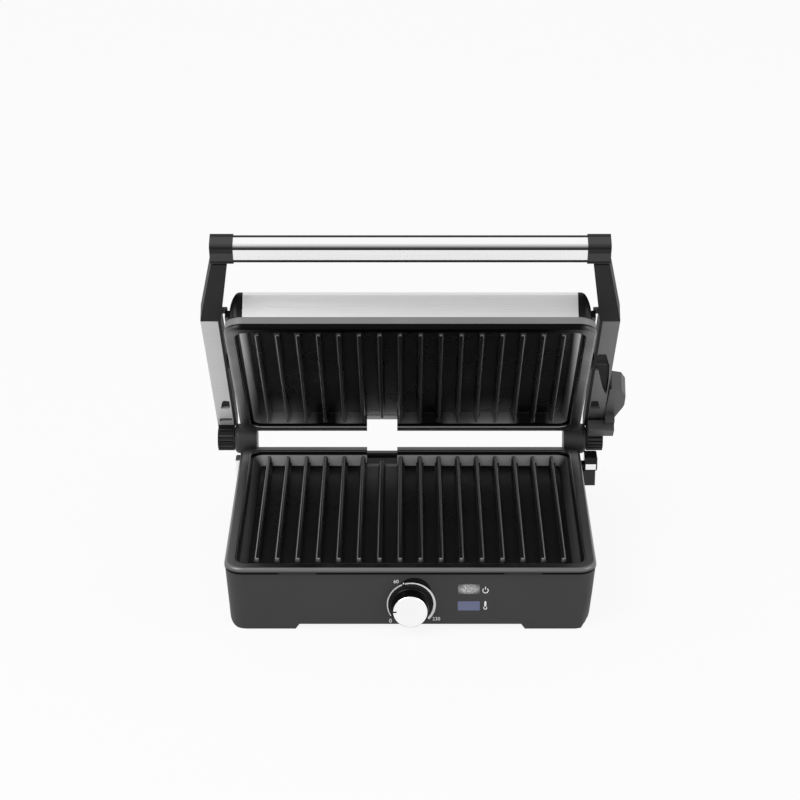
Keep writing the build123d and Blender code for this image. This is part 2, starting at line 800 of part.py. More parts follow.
def peg_bore():
    y, z = shut(peg_reach, elbow_rise + arm_depth / 2)
    return rod_x(peg_radius + running, ear_outer_x - ear_overlap, arm_inner_x + peg_root, y, z)


def cover_space():
    """The room that the bright cover takes from the arm: its underside and its outer side."""
    low, high = cover_start, cover_end
    under = [(low, arm_underside(low) - 1), (high, arm_underside(high) - 1),
             (high, arm_underside(high) + cover_thickness), (low, arm_underside(low) + cover_thickness)]
    edge = arm_outer_x - cover_thickness
    side = [(low, arm_underside(low) - 1), (high, arm_underside(high) - 1),
            (high, arm_underside(high) + arm_depth - 2), (low, arm_underside(low) + arm_depth - 2)]
    far = arm_outer_x + 1
    return across(side_profile(under), knuckle_inner_x, far) + across(side_profile(side), edge, far)


def cover_window(corners):
    """A dark window through the cover's underside, with corners from the arm's inner side and the hinge."""
    points = [(arm_inner_x + x, shut(reach, 0)[0], hinge_height) for x, reach in corners]
    return extrude(make_face(Polyline(*points, close=True)), 2 * arm_depth, dir=(0, 0, 1))


def arm_cover():
    """The right arm's bright cover: what its space takes from the full arm, less the dark windows."""
    full = across(arm_side(), arm_inner_x, arm_outer_x)
    piece = full & cover_space()
    for window in (window_near, window_foot):
        piece -= cover_window(window)
    return piece - pivot_bore()


def arm_right_cover():
    return arm_cover() - cover_window(lever_window) - lever_pin_hole()


def lever_pin_hole():
    y, z = shut(lever_pivot_reach, lever_pivot_rise)
    return rod_x(lever_pin_radius + running, arm_outer_x - 8, arm_outer_x + 2, y, z)


def right_arm():
    return arm_core() - cover_space() - lever_pin_hole()


def left_arm():
    """The left arm, whose knuckle is fluted."""
    arm = arm_core() - cover_space()
    y, z = shut(0, 0)
    step = 360 / knuckle_flutes
    for i in range(knuckle_flutes):
        angle = radians(200 + i * step)
        if sin(angle) * knuckle_radius > arm_foot_rise - 2:
            continue
        dy, dz = knuckle_radius * cos(angle), knuckle_radius * sin(angle)
        arm -= rod_x(flute_radius, knuckle_inner_x + 0.8, arm_outer_x - 1.2, y + dy, z + dz)
    return mirrored(arm)


def handle_bar():
    return across(bar_outline(0), -bar_half_length, bar_half_length) - across(
        bar_outline(bar_wall), -bar_half_length - 1, bar_half_length + 1)


def hinge_end_discs():
    y, z = shut(0, 0)
    disc = rod_x(end_disc_radius, arm_outer_x - end_disc_thickness, arm_outer_x + 0.4, y, z)
    disc = chamfer(disc.faces().sort_by(Axis.X)[-1].edges(), 0.6)
    return both_sides(disc)


def stop_pegs():
    y, z = shut(peg_reach, elbow_rise + arm_depth / 2)
    peg = rod_x(peg_radius, ear_outer_x - ear_overlap, arm_inner_x + peg_root, y, z)
    return both_sides(chamfer(peg.faces().sort_by(Axis.X)[0].edges(), 0.5))


def lid_pivot_pins():
    y, z = shut(lid_pivot_reach, lid_pivot_rise)
    pin = rod_x(lid_pin_radius, lid_half_width + 1, arm_outer_x - cover_thickness - 2.2, y, z)
    return both_sides(chamfer(pin.edges(), 0.4))


def lever_pin():
    y, z = shut(lever_pivot_reach, lever_pivot_rise)
    pin = rod_x(lever_pin_radius, arm_outer_x - 7.5, lever_outer_x - 5, y, z)
    return pin + rod_x(lever_pin_radius + 1.5, lever_outer_x - 6.2, lever_outer_x - 5, y, z)


def release_lever():
    """Thumb lever on the right arm: a paddle that stands out sideways and a foot that blocks the knuckle."""
    inner = arm_outer_x + free
    lever_foot_x = arm_outer_x + lever_foot_stand
    outline = [(inner, 30), (lever_foot_x, 25), (lever_outer_x - 1, 52), (lever_outer_x, 60),
               (lever_outer_x - 0.6, 80), (lever_outer_x - 5, 93), (inner, 97)]
    low, high = arm_underside(60) - 2, arm_underside(60) + 15
    corners = [(x, shut(reach, 0)[0], hinge_height + low) for x, reach in outline]
    paddle = extrude(make_face(Polyline(*corners, close=True)), high - low, dir=(0, 0, 1))
    paddle = fillet(paddle.edges().filter_by(Axis.Z), lever_rounding)
    y0, _ = shut(30, 0)
    y1, _ = shut(14.5, 0)
    side = arm_outer_x + lever_foot_stand
    foot = block(knuckle_inner_x + 0.5, side, y0, y1, hinge_height - 3.5, hinge_height + 6.6)
    foot = fillet(foot.edges().filter_by(Axis.X), 1.2)
    web = block(inner, side, y0 - 8, y1, hinge_height + 2, hinge_height + low + 5)
    y, z = shut(lever_pivot_reach, lever_pivot_rise)
    body = paddle + foot + web
    body -= rod_x(lever_pin_radius + running, arm_outer_x, lever_outer_x + 1, y, z)
    return body - rod_x(lever_pin_radius + 1.5 + free, lever_outer_x - 6.2 - free, lever_outer_x + 1, y, z)


def lid_outline(shrink):
    """The lid's side outline, drawn in by an amount: flat front and back, with round upper edges."""
    front = plate_depth + hinge_setback - cover_front_inset - shrink
    back = hinge_setback + cover_front_inset + shrink
    low = plate_gap / 2 + lip_height + frame_height
    high = lid_height - shrink
    y0, z0 = shut(front, low)
    y1, z1 = shut(back, high)
    profile = make_face(Polyline((0, y0, z0), (0, y1, z0), (0, y1, z1), (0, y0, z1), close=True))
    corners = profile.vertices().group_by(Axis.Z)[-1]
    return fillet(corners, max(cover_edge_radius - shrink, 1.0))


def upper_cover():
    """Stainless sheet wrapped over the lid from front to back, cut away round the spout."""
    outside = across(lid_outline(0), -cover_half_width, cover_half_width)
    outside -= across(lid_outline(cover_sheet), -cover_half_width - 1, cover_half_width + 1)
    return outside - upper_spout_space()


def upper_spout_space():
    return Pos(0, plate_y, lip_top + plate_gap) * mirror(spout_block(free), Plane.XY)


def cap_shoulder(shrink):
    """The lid's end seen from the front, with an upright oval shoulder, carried from front to back."""
    end = lid_half_width - shrink
    top = hinge_height + lid_height - shrink
    shoulder = hinge_height + lid_height - end_cap_shoulder
    low = hinge_height
    oval = Pos(cover_half_width, shoulder) * Ellipse(end - cover_half_width, top - shoulder)
    inner = cover_half_width - end_cap_wall
    oval += Pos((inner + cover_half_width) / 2, (low + top) / 2) * Rectangle(end_cap_wall, top - low)
    oval += Pos((inner + end) / 2, (low + shoulder) / 2) * Rectangle(end - inner, shoulder - low)
    return extrude(Plane.XZ * oval, 2 * base_depth, both=True)


def lid_plan(shrink):
    """The lid as seen from above, with round corners, drawn in by an amount."""
    width = 2 * (lid_half_width - shrink)
    depth = plate_depth - 2 * (cover_front_inset + shrink)
    face = RectangleRounded(width, depth, max(end_cap_corner - shrink, 1.0))
    return Pos(0, plate_y, hinge_height) * extrude(face, 2 * lid_height)


def end_cap():
    """The right-hand moulded end of the lid, with the pivot boss, the stop ear and two posts for the pan."""
    cap = across(lid_outline(0), cover_half_width, lid_half_width) & cap_shoulder(0) & lid_plan(0)
    hollow = across(lid_outline(end_cap_wall), cover_half_width - 1, lid_half_width)
    cap -= hollow & cap_shoulder(end_cap_wall) & lid_plan(end_cap_wall)
    tongue = across(lid_outline(cover_sheet + fit), cover_half_width - 5, cover_half_width + 1)
    tongue -= across(lid_outline(cover_sheet + fit + 1.6), cover_half_width - 6, cover_half_width + 2)
    cap += tongue
    rim = plate_gap / 2 + reflector_rim + reflector_sheet
    for reach in (hinge_setback + plate_depth / 2 - 80, hinge_setback + plate_depth / 2 + 80):
        y, _ = shut(reach, 0)
        top = hinge_height + lid_height - 4
        cap += block(cover_half_width, lid_half_width - 1, y - 4, y + 4, hinge_height + rim, top)
    y, z = shut(lid_pivot_reach, lid_pivot_rise)
    cap += rod_x(lid_boss_radius, lid_half_width - 1, arm_inner_x - free, y, z)
    cap -= rod_x(lid_pin_radius + running, lid_half_width, arm_inner_x, y, z)
    y, _ = shut(peg_reach, 0)
    top = elbow_rise + arm_depth / 2 - peg_radius - seat
    ear = block(lid_half_width - 1, ear_outer_x, y - ear_length / 2, y + ear_length / 2,
                hinge_height + top - ear_depth, hinge_height + top)
    cap += fillet(ear.edges().filter_by(Axis.Z).sort_by(Axis.X)[-2:], 2)
    return cap


def upper_frame():
    """Moulded band between the upper plate's lip and the cover."""
    low = lip_top + plate_gap + lip_height + fit
    high = low + frame_height - 2 * fit
    outer = slab(*inset(frame_setback), low, high)
    outer = fillet(outer.edges().group_by(Axis.Z)[-1], 1.2)
    band = Pos(0, plate_y, 0) * (outer - slab(*inset(lip_width - plate_wall - 0.4), low - 1, high + 1))
    groove_seat = lip_top + plate_gap + lip_height - groove_depth + seat
    ring = slab(*inset(groove_inset + fit + 0.4), groove_seat, low)
    ring -= slab(*inset(groove_inset + groove_width - fit - 0.4), groove_seat - 1, low + 1)
    tabs = Pos(0, plate_y, 0) * (ring & block(-100, 100, -plate_depth, plate_depth, 0, 2 * high))
    return band + tabs - upper_spout_space()


def export_all():
    os.makedirs("parts", exist_ok=True)
    nodes = {
        "lower_housing": lower_housing(),
        "bottom_cover": bottom_cover(),
        "foot_pads": foot_pads(),
        "bottom_screws": bottom_screws(),
        "lower_plate": under_lower_lip(grill_plate()),
        "lower_reflector": under_lower_lip(reflector()),
        "lower_heating_element": under_lower_lip(heating_element()),
        "lower_element_clips": under_lower_lip(element_clips()),
        "lower_thermal_fuse": under_lower_lip(thermal_fuse()),
        "thermostat": thermostat(),
        "thermostat_nut": thermostat_nut(),
        "dial_plate": dial_plate(),
        "power_window": window_lens(*window_places()[0]),
        "ready_window": window_lens(*window_places()[1]),
        "indicator_board": indicator_board(),
        "indicator_lamps": indicator_lamps(),
        "terminal_block": terminal_block(),
        "cord_gland": cord_gland(),
        "hinge_pins": hinge_pins(),
        "left_latch_trim": latch_trim(),
        "grease_tray": grease_tray(),
        "thermostat_shaft": thermostat_shaft(),
        "knob": knob(),
        "knob_face": knob_face(),
        "release_button": release_button(),
        "release_button_trim": release_button_trim(),
        "left_arm": opened(left_arm()),
        "right_arm": opened(right_arm()),
        "left_arm_cover": opened(mirrored(arm_cover())),
        "right_arm_cover": opened(arm_right_cover()),
        "handle_bar": opened(handle_bar()),
        "hinge_end_discs": opened(hinge_end_discs()),
        "stop_pegs": opened(stop_pegs()),
        "lid_pivot_pins": opened(lid_pivot_pins()),
        "lever_pin": opened(lever_pin()),
        "release_lever": opened(release_lever()),
        "upper_plate": over_upper_lip(grill_plate()),
        "upper_frame": opened(upper_frame()),
        "upper_cover": opened(upper_cover()),
        "left_end_cap": opened(mirrored(end_cap())),
        "right_end_cap": opened(end_cap()),
        "upper_reflector": over_upper_lip(reflector()),
        "upper_heating_element": over_upper_lip(heating_element()),
        "upper_element_clips": over_upper_lip(element_clips()),
        "upper_thermal_fuse": over_upper_lip(thermal_fuse()),
    }
    for name, shape in nodes.items():
        export_step(shape, f"parts/{name}.step")


export_all()
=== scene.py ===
import json
import math

import bpy
import numpy as np
from bpy.props import FloatProperty, FloatVectorProperty, IntProperty, PointerProperty
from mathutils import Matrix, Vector


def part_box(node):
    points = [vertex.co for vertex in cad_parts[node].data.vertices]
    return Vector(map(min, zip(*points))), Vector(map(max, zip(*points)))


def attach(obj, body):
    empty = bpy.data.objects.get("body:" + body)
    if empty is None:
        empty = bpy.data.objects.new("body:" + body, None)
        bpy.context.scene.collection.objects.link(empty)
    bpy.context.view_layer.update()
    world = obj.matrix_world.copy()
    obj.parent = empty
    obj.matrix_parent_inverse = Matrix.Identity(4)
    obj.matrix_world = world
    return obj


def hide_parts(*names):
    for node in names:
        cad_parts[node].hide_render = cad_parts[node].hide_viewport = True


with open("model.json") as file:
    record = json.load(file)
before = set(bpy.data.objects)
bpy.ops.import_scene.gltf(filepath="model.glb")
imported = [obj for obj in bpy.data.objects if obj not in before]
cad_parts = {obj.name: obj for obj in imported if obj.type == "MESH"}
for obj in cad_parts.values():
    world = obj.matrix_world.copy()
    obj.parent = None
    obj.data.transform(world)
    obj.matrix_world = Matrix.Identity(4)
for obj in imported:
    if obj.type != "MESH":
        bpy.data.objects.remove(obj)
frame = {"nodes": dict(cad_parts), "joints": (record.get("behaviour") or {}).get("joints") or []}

bl_info = {
    "name": "Contact grill looks",
    "version": (1, 0, 0),
    "blender": (4, 5, 0),
    "location": "3D View > Sidebar > Grill",
    "description": "Finishes a contact grill: cast plates, stainless lid, handle, base and studio",
    "category": "Object",
}

MM = 0.001
OPEN_ANGLE = math.radians(44.5)


# Where things stand, read from the frame
def joint_named(name):
    return next(joint for joint in frame["joints"] if joint["name"] == name)


HINGE_Y, HINGE_Z = joint_named("handle_hinge")["pos_m"][1:]
LOWER_LOW, LOWER_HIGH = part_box("lower_plate")
BAR_LOW, BAR_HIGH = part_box("handle_bar")
PLATE_WIDTH = LOWER_HIGH.x - LOWER_LOW.x
LIP_TOP = LOWER_HIGH.z
LID_REAR_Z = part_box("upper_plate")[0].z
PANEL_Y = joint_named("knob_turn")["pos_m"][1]
KNOB_FACE_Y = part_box("knob_face")[0].y


def opened(points):
    """Turn points drawn shut backwards about the hinge axis, by the opening angle, in the YZ plane."""
    turned = np.array(points, float)
    y, z = turned[..., 1] - HINGE_Y, turned[..., 2] - HINGE_Z
    turned[..., 1] = HINGE_Y + y * math.cos(OPEN_ANGLE) + z * math.sin(OPEN_ANGLE)
    turned[..., 2] = HINGE_Z - y * math.sin(OPEN_ANGLE) + z * math.cos(OPEN_ANGLE)
    return turned


# Sizes and colours a user may change
def grey(shade):
    return (shade,) * 3


def user_length(name, description, metres):
    return FloatProperty(name=name, description=description, default=metres, unit="LENGTH")


def user_power(name, description, watts):
    return FloatProperty(name=name, description=description, default=watts, unit="POWER")


def user_colour(name, description, shade):
    return FloatVectorProperty(name=name, description=description, default=shade, subtype="COLOR", min=0,
                               max=1)


class GrillSizes(bpy.types.PropertyGroup):
    plate_depth: user_length("Plate depth", "Depth of a plate over its lips", 0.234)
    rib_pitch: user_length("Rib pitch", "Distance from rib to rib", 0.0165)
    rib_width: user_length("Rib width", "Width of a rib at its foot", 0.0052)
    rib_height: user_length("Rib height", "Height of a rib over the tray", 0.0046)
    rib_count: IntProperty(name="Ribs", description="Ribs on each plate", default=16, min=2)


class GrillColours(bpy.types.PropertyGroup):
    coating: user_colour("Coating", "Non-stick coating of the plates", grey(0.011))
    housing: user_colour("Housing", "Dark moulding of the base", (0.041, 0.041, 0.042))
    moulding: user_colour("Black moulding", "Black parts of the lid and the hinge", grey(0.006))
    stainless: user_colour("Stainless", "Brushed sheet of the lid", grey(0.78))
    # The two arm covers are one satin metal, paler on the left as painted light and darker on the right as
    # painted shade.
    satin: user_colour("Left satin cover", "Silver cover of the left arm", grey(0.74))
    right_satin_shaded: user_colour("Right satin cover", "Darker cover of the right arm", grey(0.19))
    arms: user_colour("Arms", "Dull black of the arms", grey(0.036))
    bar: user_colour("Bar", "Polished handle bar", grey(0.95))
    window: user_colour("Ready window", "Blue indicator window", (0.09, 0.105, 0.2))


class StageSettings(bpy.types.PropertyGroup):
    key_power: user_power("Key power", "Power of the large lamp over the front left", 16.0)
    fill_power: user_power("Fill power", "Power of the lamp at the right", 5.0)
    world_strength: FloatProperty(name="World", description="Strength of the even light all round",
                                  default=0.55)
    camera_distance: user_length("Camera back", "How far in front of the origin the camera stands", 1.86587)
    camera_height: user_length("Camera height", "Height of the camera over the table", 0.95348)
    camera_pitch: FloatProperty(name="Camera pitch", description="How far the camera looks down",
                                default=math.radians(23.43), subtype="ANGLE")
    camera_lens: FloatProperty(name="Lens", description="Focal length on a 36 mm sensor", default=110.48)
    camera_shift: FloatProperty(name="Shift", description="Sideways shift of the picture", default=-0.0129)


# Meshes
def grid(x, y, z):
    """Coordinates of matching shapes as one grid of points."""
    return np.stack(np.broadcast_arrays(x, y, z), axis=-1)


def closed_shell(points):
    """A grid of points whose rows close round, as (points, faces): quads between neighbours, and one face
    over the first row and one over the last."""
    rows, columns = points.shape[:2]
    r, c = np.meshgrid(np.arange(rows - 1), np.arange(columns), indexing="ij")
    row, c2 = r * columns, (c + 1) % columns
    quads = np.stack([row + c, row + c2, row + columns + c2, row + columns + c], axis=-1)
    ends = [tuple(range(columns))[::-1], tuple(range((rows - 1) * columns, rows * columns))]
    return points.reshape(-1, 3), [*map(tuple, quads.reshape(-1, 4)), *ends]


def joined(*shells):
    """Several (points, faces) as one."""
    points, faces, start = [], [], 0
    for shell_points, shell_faces in shells:
        points.append(shell_points)
        faces.extend(tuple(i + start for i in face) for face in shell_faces)
        start += len(shell_points)
    return np.concatenate(points), faces


def flipped(shell):
    """The same points with every face turned over."""
    points, faces = shell
    return points, [face[::-1] for face in faces]


def placed(name, data):
    """A new object put into the scene."""
    obj = bpy.data.objects.new(name, data)
    bpy.context.scene.collection.objects.link(obj)
    return obj


def piece(name, shell, body, finishes, replaced=(), sharp=40.0, masks=None, zones=None):
    """Put a shell into the scene as a smooth-shaded object that rides on a body. Masks are values per point,
    and zones say which of several finishes each face has."""
    points, faces = shell
    mesh = bpy.data.meshes.new(name)
    mesh.from_pydata(points.tolist(), [], faces)
    for mask_name, values in (masks or {}).items():
        mesh.attributes.new(mask_name, "FLOAT", "POINT").data.foreach_set("value", values.astype(np.float32))
    if zones is not None:
        mesh.polygons.foreach_set("material_index", zones.astype(np.int32))
    mesh.validate()
    mesh.shade_smooth()
    mesh.set_sharp_from_angle(angle=math.radians(sharp))
    obj = placed(name, mesh)
    for material in finishes if isinstance(finishes, list) else [finishes]:
        mesh.materials.append(material)
    even = obj.modifiers.new("even_normals", "WEIGHTED_NORMAL")
    even.keep_sharp = True
    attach(obj, body)
    if replaced:
        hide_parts(*replaced)
    return obj


# The signs of x and y in each quarter of a turn
QUARTERS = ((1, 1), (-1, 1), (-1, -1), (1, -1))

# Ribbed plates, both in millimetres with the lip's face at height 0, x to the right and y to the back
PLATE_CORNER = 15.0
CORNER_SHRINK = 0.6
LEAST_CORNER = 3.0
TRAY_DEPTH = 11.5
PLATE_WALL = 2.6
PLATE_GAP = 2.0
SLOPE_ANGLE = math.degrees(math.atan2(8.5, 6.0))

# The arcs over the top of the plate's section, as (centre, radius, first angle, last angle, points), and the
# corners of its underside, all in (inset, height)
TOP_ARCS = (((19.6, -9.4), 2.1, -90, -90 - SLOPE_ANGLE, 5),
            ((11.9, -3.9), 0.9, 90 - SLOPE_ANGLE, 90, 4),
            ((10.3, -2.4), 0.6, -90, -180, 4),
            ((8.1, -1.4), 1.4, 0, 90, 6),
            ((2.3, -2.3), 2.3, 90, 180, 9))
UNDERSIDE = ((0.0, -4.3), (0.35, -4.6), (2.4, -4.6), (2.4, -2.2), (7.0, -2.2), (7.0, -4.6), (9.62, -4.6),
             (14.9, -14.1))

# Rows of the section where the slope, the ledge, the lip and the skirt begin
SLOPE_ROW = 4
LEDGE_ROW = 7
LIP_ROW = 14
SKIRT_ROW = sum(arc_points for *_, arc_points in TOP_ARCS)

# Zones of the plate, each with its own finish
FLOOR_ZONE, RIM_ZONE, SLOPE_ZONE, SPOUT_ZONE = range(4)

# The spout through the rear lip, and how sharply its cheeks begin
SPOUT_HALF = 13.25
SPOUT_PITCHES = -1.5
CHEEK_EDGE = 0.02

# Ribs: where they begin and end, how they climb the slope at the rear, and their section
RIB_FRONT_INSET = 30.0
RIB_REAR_INSET = 11.6
SPOUT_RIB_INSET = 13.5
RIB_BEND = 7.0
RIB_RISE = 3.4
RIB_DRAFT = math.radians(13.0)
RIB_FLARE = ((-0.7, -0.3), (-0.45, 0.1), (-0.1, 0.45), (0.12, 0.9))
SHOULDER_RADIUS = 0.95
SHOULDER_ROW = 6
OUTER_RIB_X = 124.0

# How much painted highlight, painted reflection and painted shade the coating takes, from 0 to 1
SHOULDER_FADE = 3.0
MIDDLE_HIGHLIGHT = 0.22
HIGHLIGHT_POWER = 1.4
FRONT_HIGHLIGHT, REAR_HIGHLIGHT = 0.75, 0.25
RISEN_HIGHLIGHT = 0.16
RIM_PAINTED_REFLECTION = 0.5
CORNER_FADE = 4
BASE_REAR_SHADE = 0.65
LID_SIDE_PALE, LID_SIDE_DRIFT = 0.6, 0.4
SIDE_PALE = 0.035
REAR_PALE = 0.33
LOWER_HIGHLIGHT_POWER = 0.7


def arc(centre, radius, start, end, steps):
    """Points of a circle's arc in the (inset, height) plane, from one angle in degrees to another."""
    angle = np.radians(np.linspace(start, end, steps))
    return np.stack([centre[0] + radius * np.cos(angle), centre[1] + radius * np.sin(angle)], axis=-1)


def lip_profile():
    """The plate's section from the middle outwards and round underneath, as (inset, height). It climbs from
    the tray's floor over the slope, the ledge and the rounded lip, and returns under the groove."""
    return np.concatenate([arc(*values) for values in TOP_ARCS] + [np.array(UNDERSIDE)])


def ring_columns(stops, corner_steps=11):
    """Columns round a rounded rectangle, anticlockwise from its right side: each has its corner's signs, its
    angle and, along the back, a fixed x."""
    angles = np.radians(np.linspace(0, 90, corner_steps) + 90 * np.arange(4)[:, None])
    corners = np.column_stack([np.repeat(QUARTERS, corner_steps, axis=0), angles.ravel(),
                               np.full(angles.size, np.nan)])
    back = [(0, 1, math.pi / 2, stop) for stop in sorted(stops, reverse=True)]
    return np.insert(corners, [corner_steps] * len(back), back, axis=0).T


def spout_middle():
    """The x of the spout's middle, a number of rib pitches from the plate's middle."""
    return SPOUT_PITCHES * sizes().rib_pitch / MM


def plate_shell():
    """The plate without ribs: the lip profile carried round the plate's outline. Each ring is a rounded
    rectangle drawn in by the profile's inset. Between the spout's cheeks the top drops to the tray's floor,
    and the underside drops to the cheeks' foot. Comes with each point's row in the profile, the cosine and
    sine of its corner's angle and which half it is in, and with each face's zone."""
    half_x, half_y = PLATE_WIDTH / MM / 2, (sizes().plate_depth / MM) / 2
    spout_x = spout_middle()
    cheek = SPOUT_HALF + PLATE_WALL
    stops = [spout_x + side * (half + step) for side in (-1, 1) for half in (SPOUT_HALF, cheek)
             for step in (-CHEEK_EDGE, CHEEK_EDGE)]
    sign_x, sign_y, angle, stop = ring_columns(stops)
    profile = lip_profile()
    rows = np.arange(len(profile))[:, None]
    inset, height = profile[:, :1], profile[:, 1:]
    corner = np.maximum(PLATE_CORNER - CORNER_SHRINK * inset, LEAST_CORNER)
    x = sign_x * (half_x - inset - corner) + corner * np.cos(angle)
    y = sign_y * (half_y - inset - corner) + corner * np.sin(angle)
    fixed = ~np.isnan(stop)
    x = np.where(fixed, np.nan_to_num(stop), x)
    y = np.where(fixed, half_y - inset, y)
    from_spout = np.where(fixed, np.abs(np.nan_to_num(stop) - spout_x), np.inf)
    is_top = rows < SKIRT_ROW
    floor = np.where(is_top, -TRAY_DEPTH, -TRAY_DEPTH - PLATE_WALL)
    reach = np.where(is_top, SPOUT_HALF, cheek)
    z = np.where(from_spout < reach, np.minimum(height, floor), height)
    place = np.stack(np.broadcast_arrays(rows, np.cos(angle), np.sin(angle), sign_y), axis=-1)
    face_row = rows[:-1] + 0 * angle
    zones = np.where(face_row < SLOPE_ROW, FLOOR_ZONE, np.where(face_row < LEDGE_ROW, SLOPE_ZONE, RIM_ZONE))
    zones = np.where(from_spout < SPOUT_HALF, SPOUT_ZONE, zones)
    shell = flipped(closed_shell(grid(x, y, z)))
    return shell, place.reshape(-1, 4), np.append(zones, (FLOOR_ZONE, FLOOR_ZONE))


def rim_painted_reflection(place, on_lid):
    """How much painted reflection the rim takes at each point: none on the ledge and the lip's skirt, as
    painted shade. On the lid the lip fades into painted shade round its front corners, by a power of the
    sine, and is brighter at the back. On the base the lip is duller at the back, by the sine."""
    row, _, along, _ = place.T
    front, back = np.clip(-along, 0, 1), np.clip(along, 0, 1)
    lip = 1 - front ** CORNER_FADE + back if on_lid else 1 - BASE_REAR_SHADE * back
    painted_reflection = RIM_PAINTED_REFLECTION * np.where(row >= LIP_ROW, lip, 1.0)
    on_ledge = (row > LEDGE_ROW) & (row < LIP_ROW)
    return np.where(on_ledge | (row >= SKIRT_ROW), 0.0, painted_reflection)


def slope_painted_light(place, on_lid):
    """How pale the slopes are painted, as painted reflection. On the lid the side slopes go from nothing at
    their foot to pale at their top, by the squared cosine, and are paler in the front half. On the base the
    rear slope is palest, by the squared sine."""
    row, across, along, half = place.T
    if on_lid:
        on_slope = (row > SLOPE_ROW) & (row <= LEDGE_ROW)
        return np.where(on_slope, (LID_SIDE_PALE - LID_SIDE_DRIFT * half) * across ** 2, 0.0)
    on_slope = (row >= SLOPE_ROW) & (row <= LEDGE_ROW)
    return np.where(on_slope, SIDE_PALE + REAR_PALE * np.clip(along, 0, 1) ** 2, 0.0)


def rib_shell(x, y_front, y_back, rise):
    """One rib: a stadium outline drawn in at each height of its section, with a flared foot and round
    shoulders. Behind the bend its two sides rise straight to the rear end, which lies up on the slope. Comes
    with a mask of painted highlights on its edges: the shoulder on the outer side, both ends and all that
    rises."""
    half, height = sizes().rib_width / MM / 2, sizes().rib_height / MM
    foot = height - SHOULDER_RADIUS
    shoulders = arc((foot * math.tan(RIB_DRAFT) + SHOULDER_RADIUS, foot), SHOULDER_RADIUS, 180, 90, 6)
    profile = np.concatenate([np.array(RIB_FLARE), shoulders])
    steps = np.radians(np.linspace(0, 180, 13))
    angle = np.concatenate([steps + math.pi, (0,), steps, (math.pi,)])
    is_front = np.arange(len(angle)) < len(steps)
    is_bend = np.isin(np.arange(len(angle)), (len(steps), len(angle) - 1))
    centre = np.where(is_front, y_front + half, np.where(is_bend, y_back - RIB_BEND, y_back - half))
    lift = np.where(is_front | is_bend, 0.0, rise)
    radius = half - profile[:, :1]
    points = grid(x + radius * np.cos(angle), centre + radius * np.sin(angle),
                  profile[:, 1:] - TRAY_DEPTH + lift)
    rows = np.arange(len(profile))[:, None]
    shoulder = np.clip(1.0 - np.abs(rows - SHOULDER_ROW) / SHOULDER_FADE, 0.0, 1.0)
    side_highlight = MIDDLE_HIGHLIGHT + (1 - MIDDLE_HIGHLIGHT) * (abs(x) / OUTER_RIB_X) ** HIGHLIGHT_POWER
    outwards = np.clip(np.cos(angle) * np.sign(x), 0.0, 1.0) * side_highlight
    ends = np.where(np.sin(angle) < 0, FRONT_HIGHLIGHT, REAR_HIGHLIGHT) * np.sin(angle) ** 2
    risen = RISEN_HIGHLIGHT * (rows >= SHOULDER_ROW - 1) * (lift > 0)
    painted_light = np.maximum(shoulder * np.maximum(outwards, ends), risen)
    return closed_shell(points), painted_light.ravel()


def ribbed_plate():
    """The plate's shell with all its ribs, and a mask of painted highlights on the shoulders: strong on the
    outer side of each rib, weaker towards the middle of the plate, and strong again round a rib's front end."""
    half_y = sizes().plate_depth / MM / 2
    count, pitch = sizes().rib_count, sizes().rib_pitch / MM
    ribs = []
    for i in range(count):
        x = (i - (count - 1) / 2) * pitch
        in_spout = abs(x - spout_middle()) < SPOUT_HALF
        rear, rise = (SPOUT_RIB_INSET, 0.0) if in_spout else (RIB_REAR_INSET, RIB_RISE)
        ribs.append(rib_shell(x, -half_y + RIB_FRONT_INSET, half_y - rear, rise))
    tray, place, zones = plate_shell()
    painted_light = np.concatenate([np.zeros(len(place))] + [mask for _, mask in ribs])
    shell = joined(tray, *(rib for rib, _ in ribs))
    place = np.pad(place, ((0, len(painted_light) - len(place)), (0, 0)))
    return shell, painted_light, place, np.pad(zones, (0, len(shell[1]) - len(zones)))


def plate_middle():
    """The y of a plate's middle with the grill shut, half the depth behind the front edge in the frame."""
    return LOWER_LOW.y + sizes().plate_depth / 2


def on_base(shell):
    """Seat a plate on the base: millimetres to metres, with its lip at the frame's height."""
    points, faces = shell
    return points * MM + (0, plate_middle(), LIP_TOP), faces


def on_lid(shell):
    """Turn a plate over on to the lid, which mirrors it in height, and open the lid."""
    points, faces = shell
    over = points * (MM, MM, -MM) + (0, plate_middle(), LIP_TOP + PLATE_GAP * MM)
    return flipped((opened(over), faces))


# Handle bar, in millimetres from the hinge with the grill shut, and the sockets on it in the arms' heads
BAR_REACH = 301.0
BAR_RISE = 46.6
BAR_DEPTH = 19.0
BAR_THICKNESS = 15.0
BAR_CORNER = 3.5
BAR_TILT = math.radians(22.0)
HEAD_STAND = 0.75
HEAD_OUTER_X = 156.0
HEAD_INNER_X = 137.8

# How dark the painted shade is at each point round a corner, for the soft front corner and for the other
# three, and how far along the flats the painted dark line reaches
SOFT_CORNER_SHADE = (0.0, 0.0, 0.0, 0.2, 0.35, 0.5, 0.7, 0.9, 1.0, 1.0, 1.0, 1.0, 0.0)
HARD_CORNER_SHADE = (0.0, 1.0, 1.0, 1.0, 1.0, 1.0, 1.0, 1.0, 1.0, 1.0, 1.0, 1.0, 0.0)
SOFT_REACH = 0.3
HARD_REACH = 1.1
LINE_END = 0.15


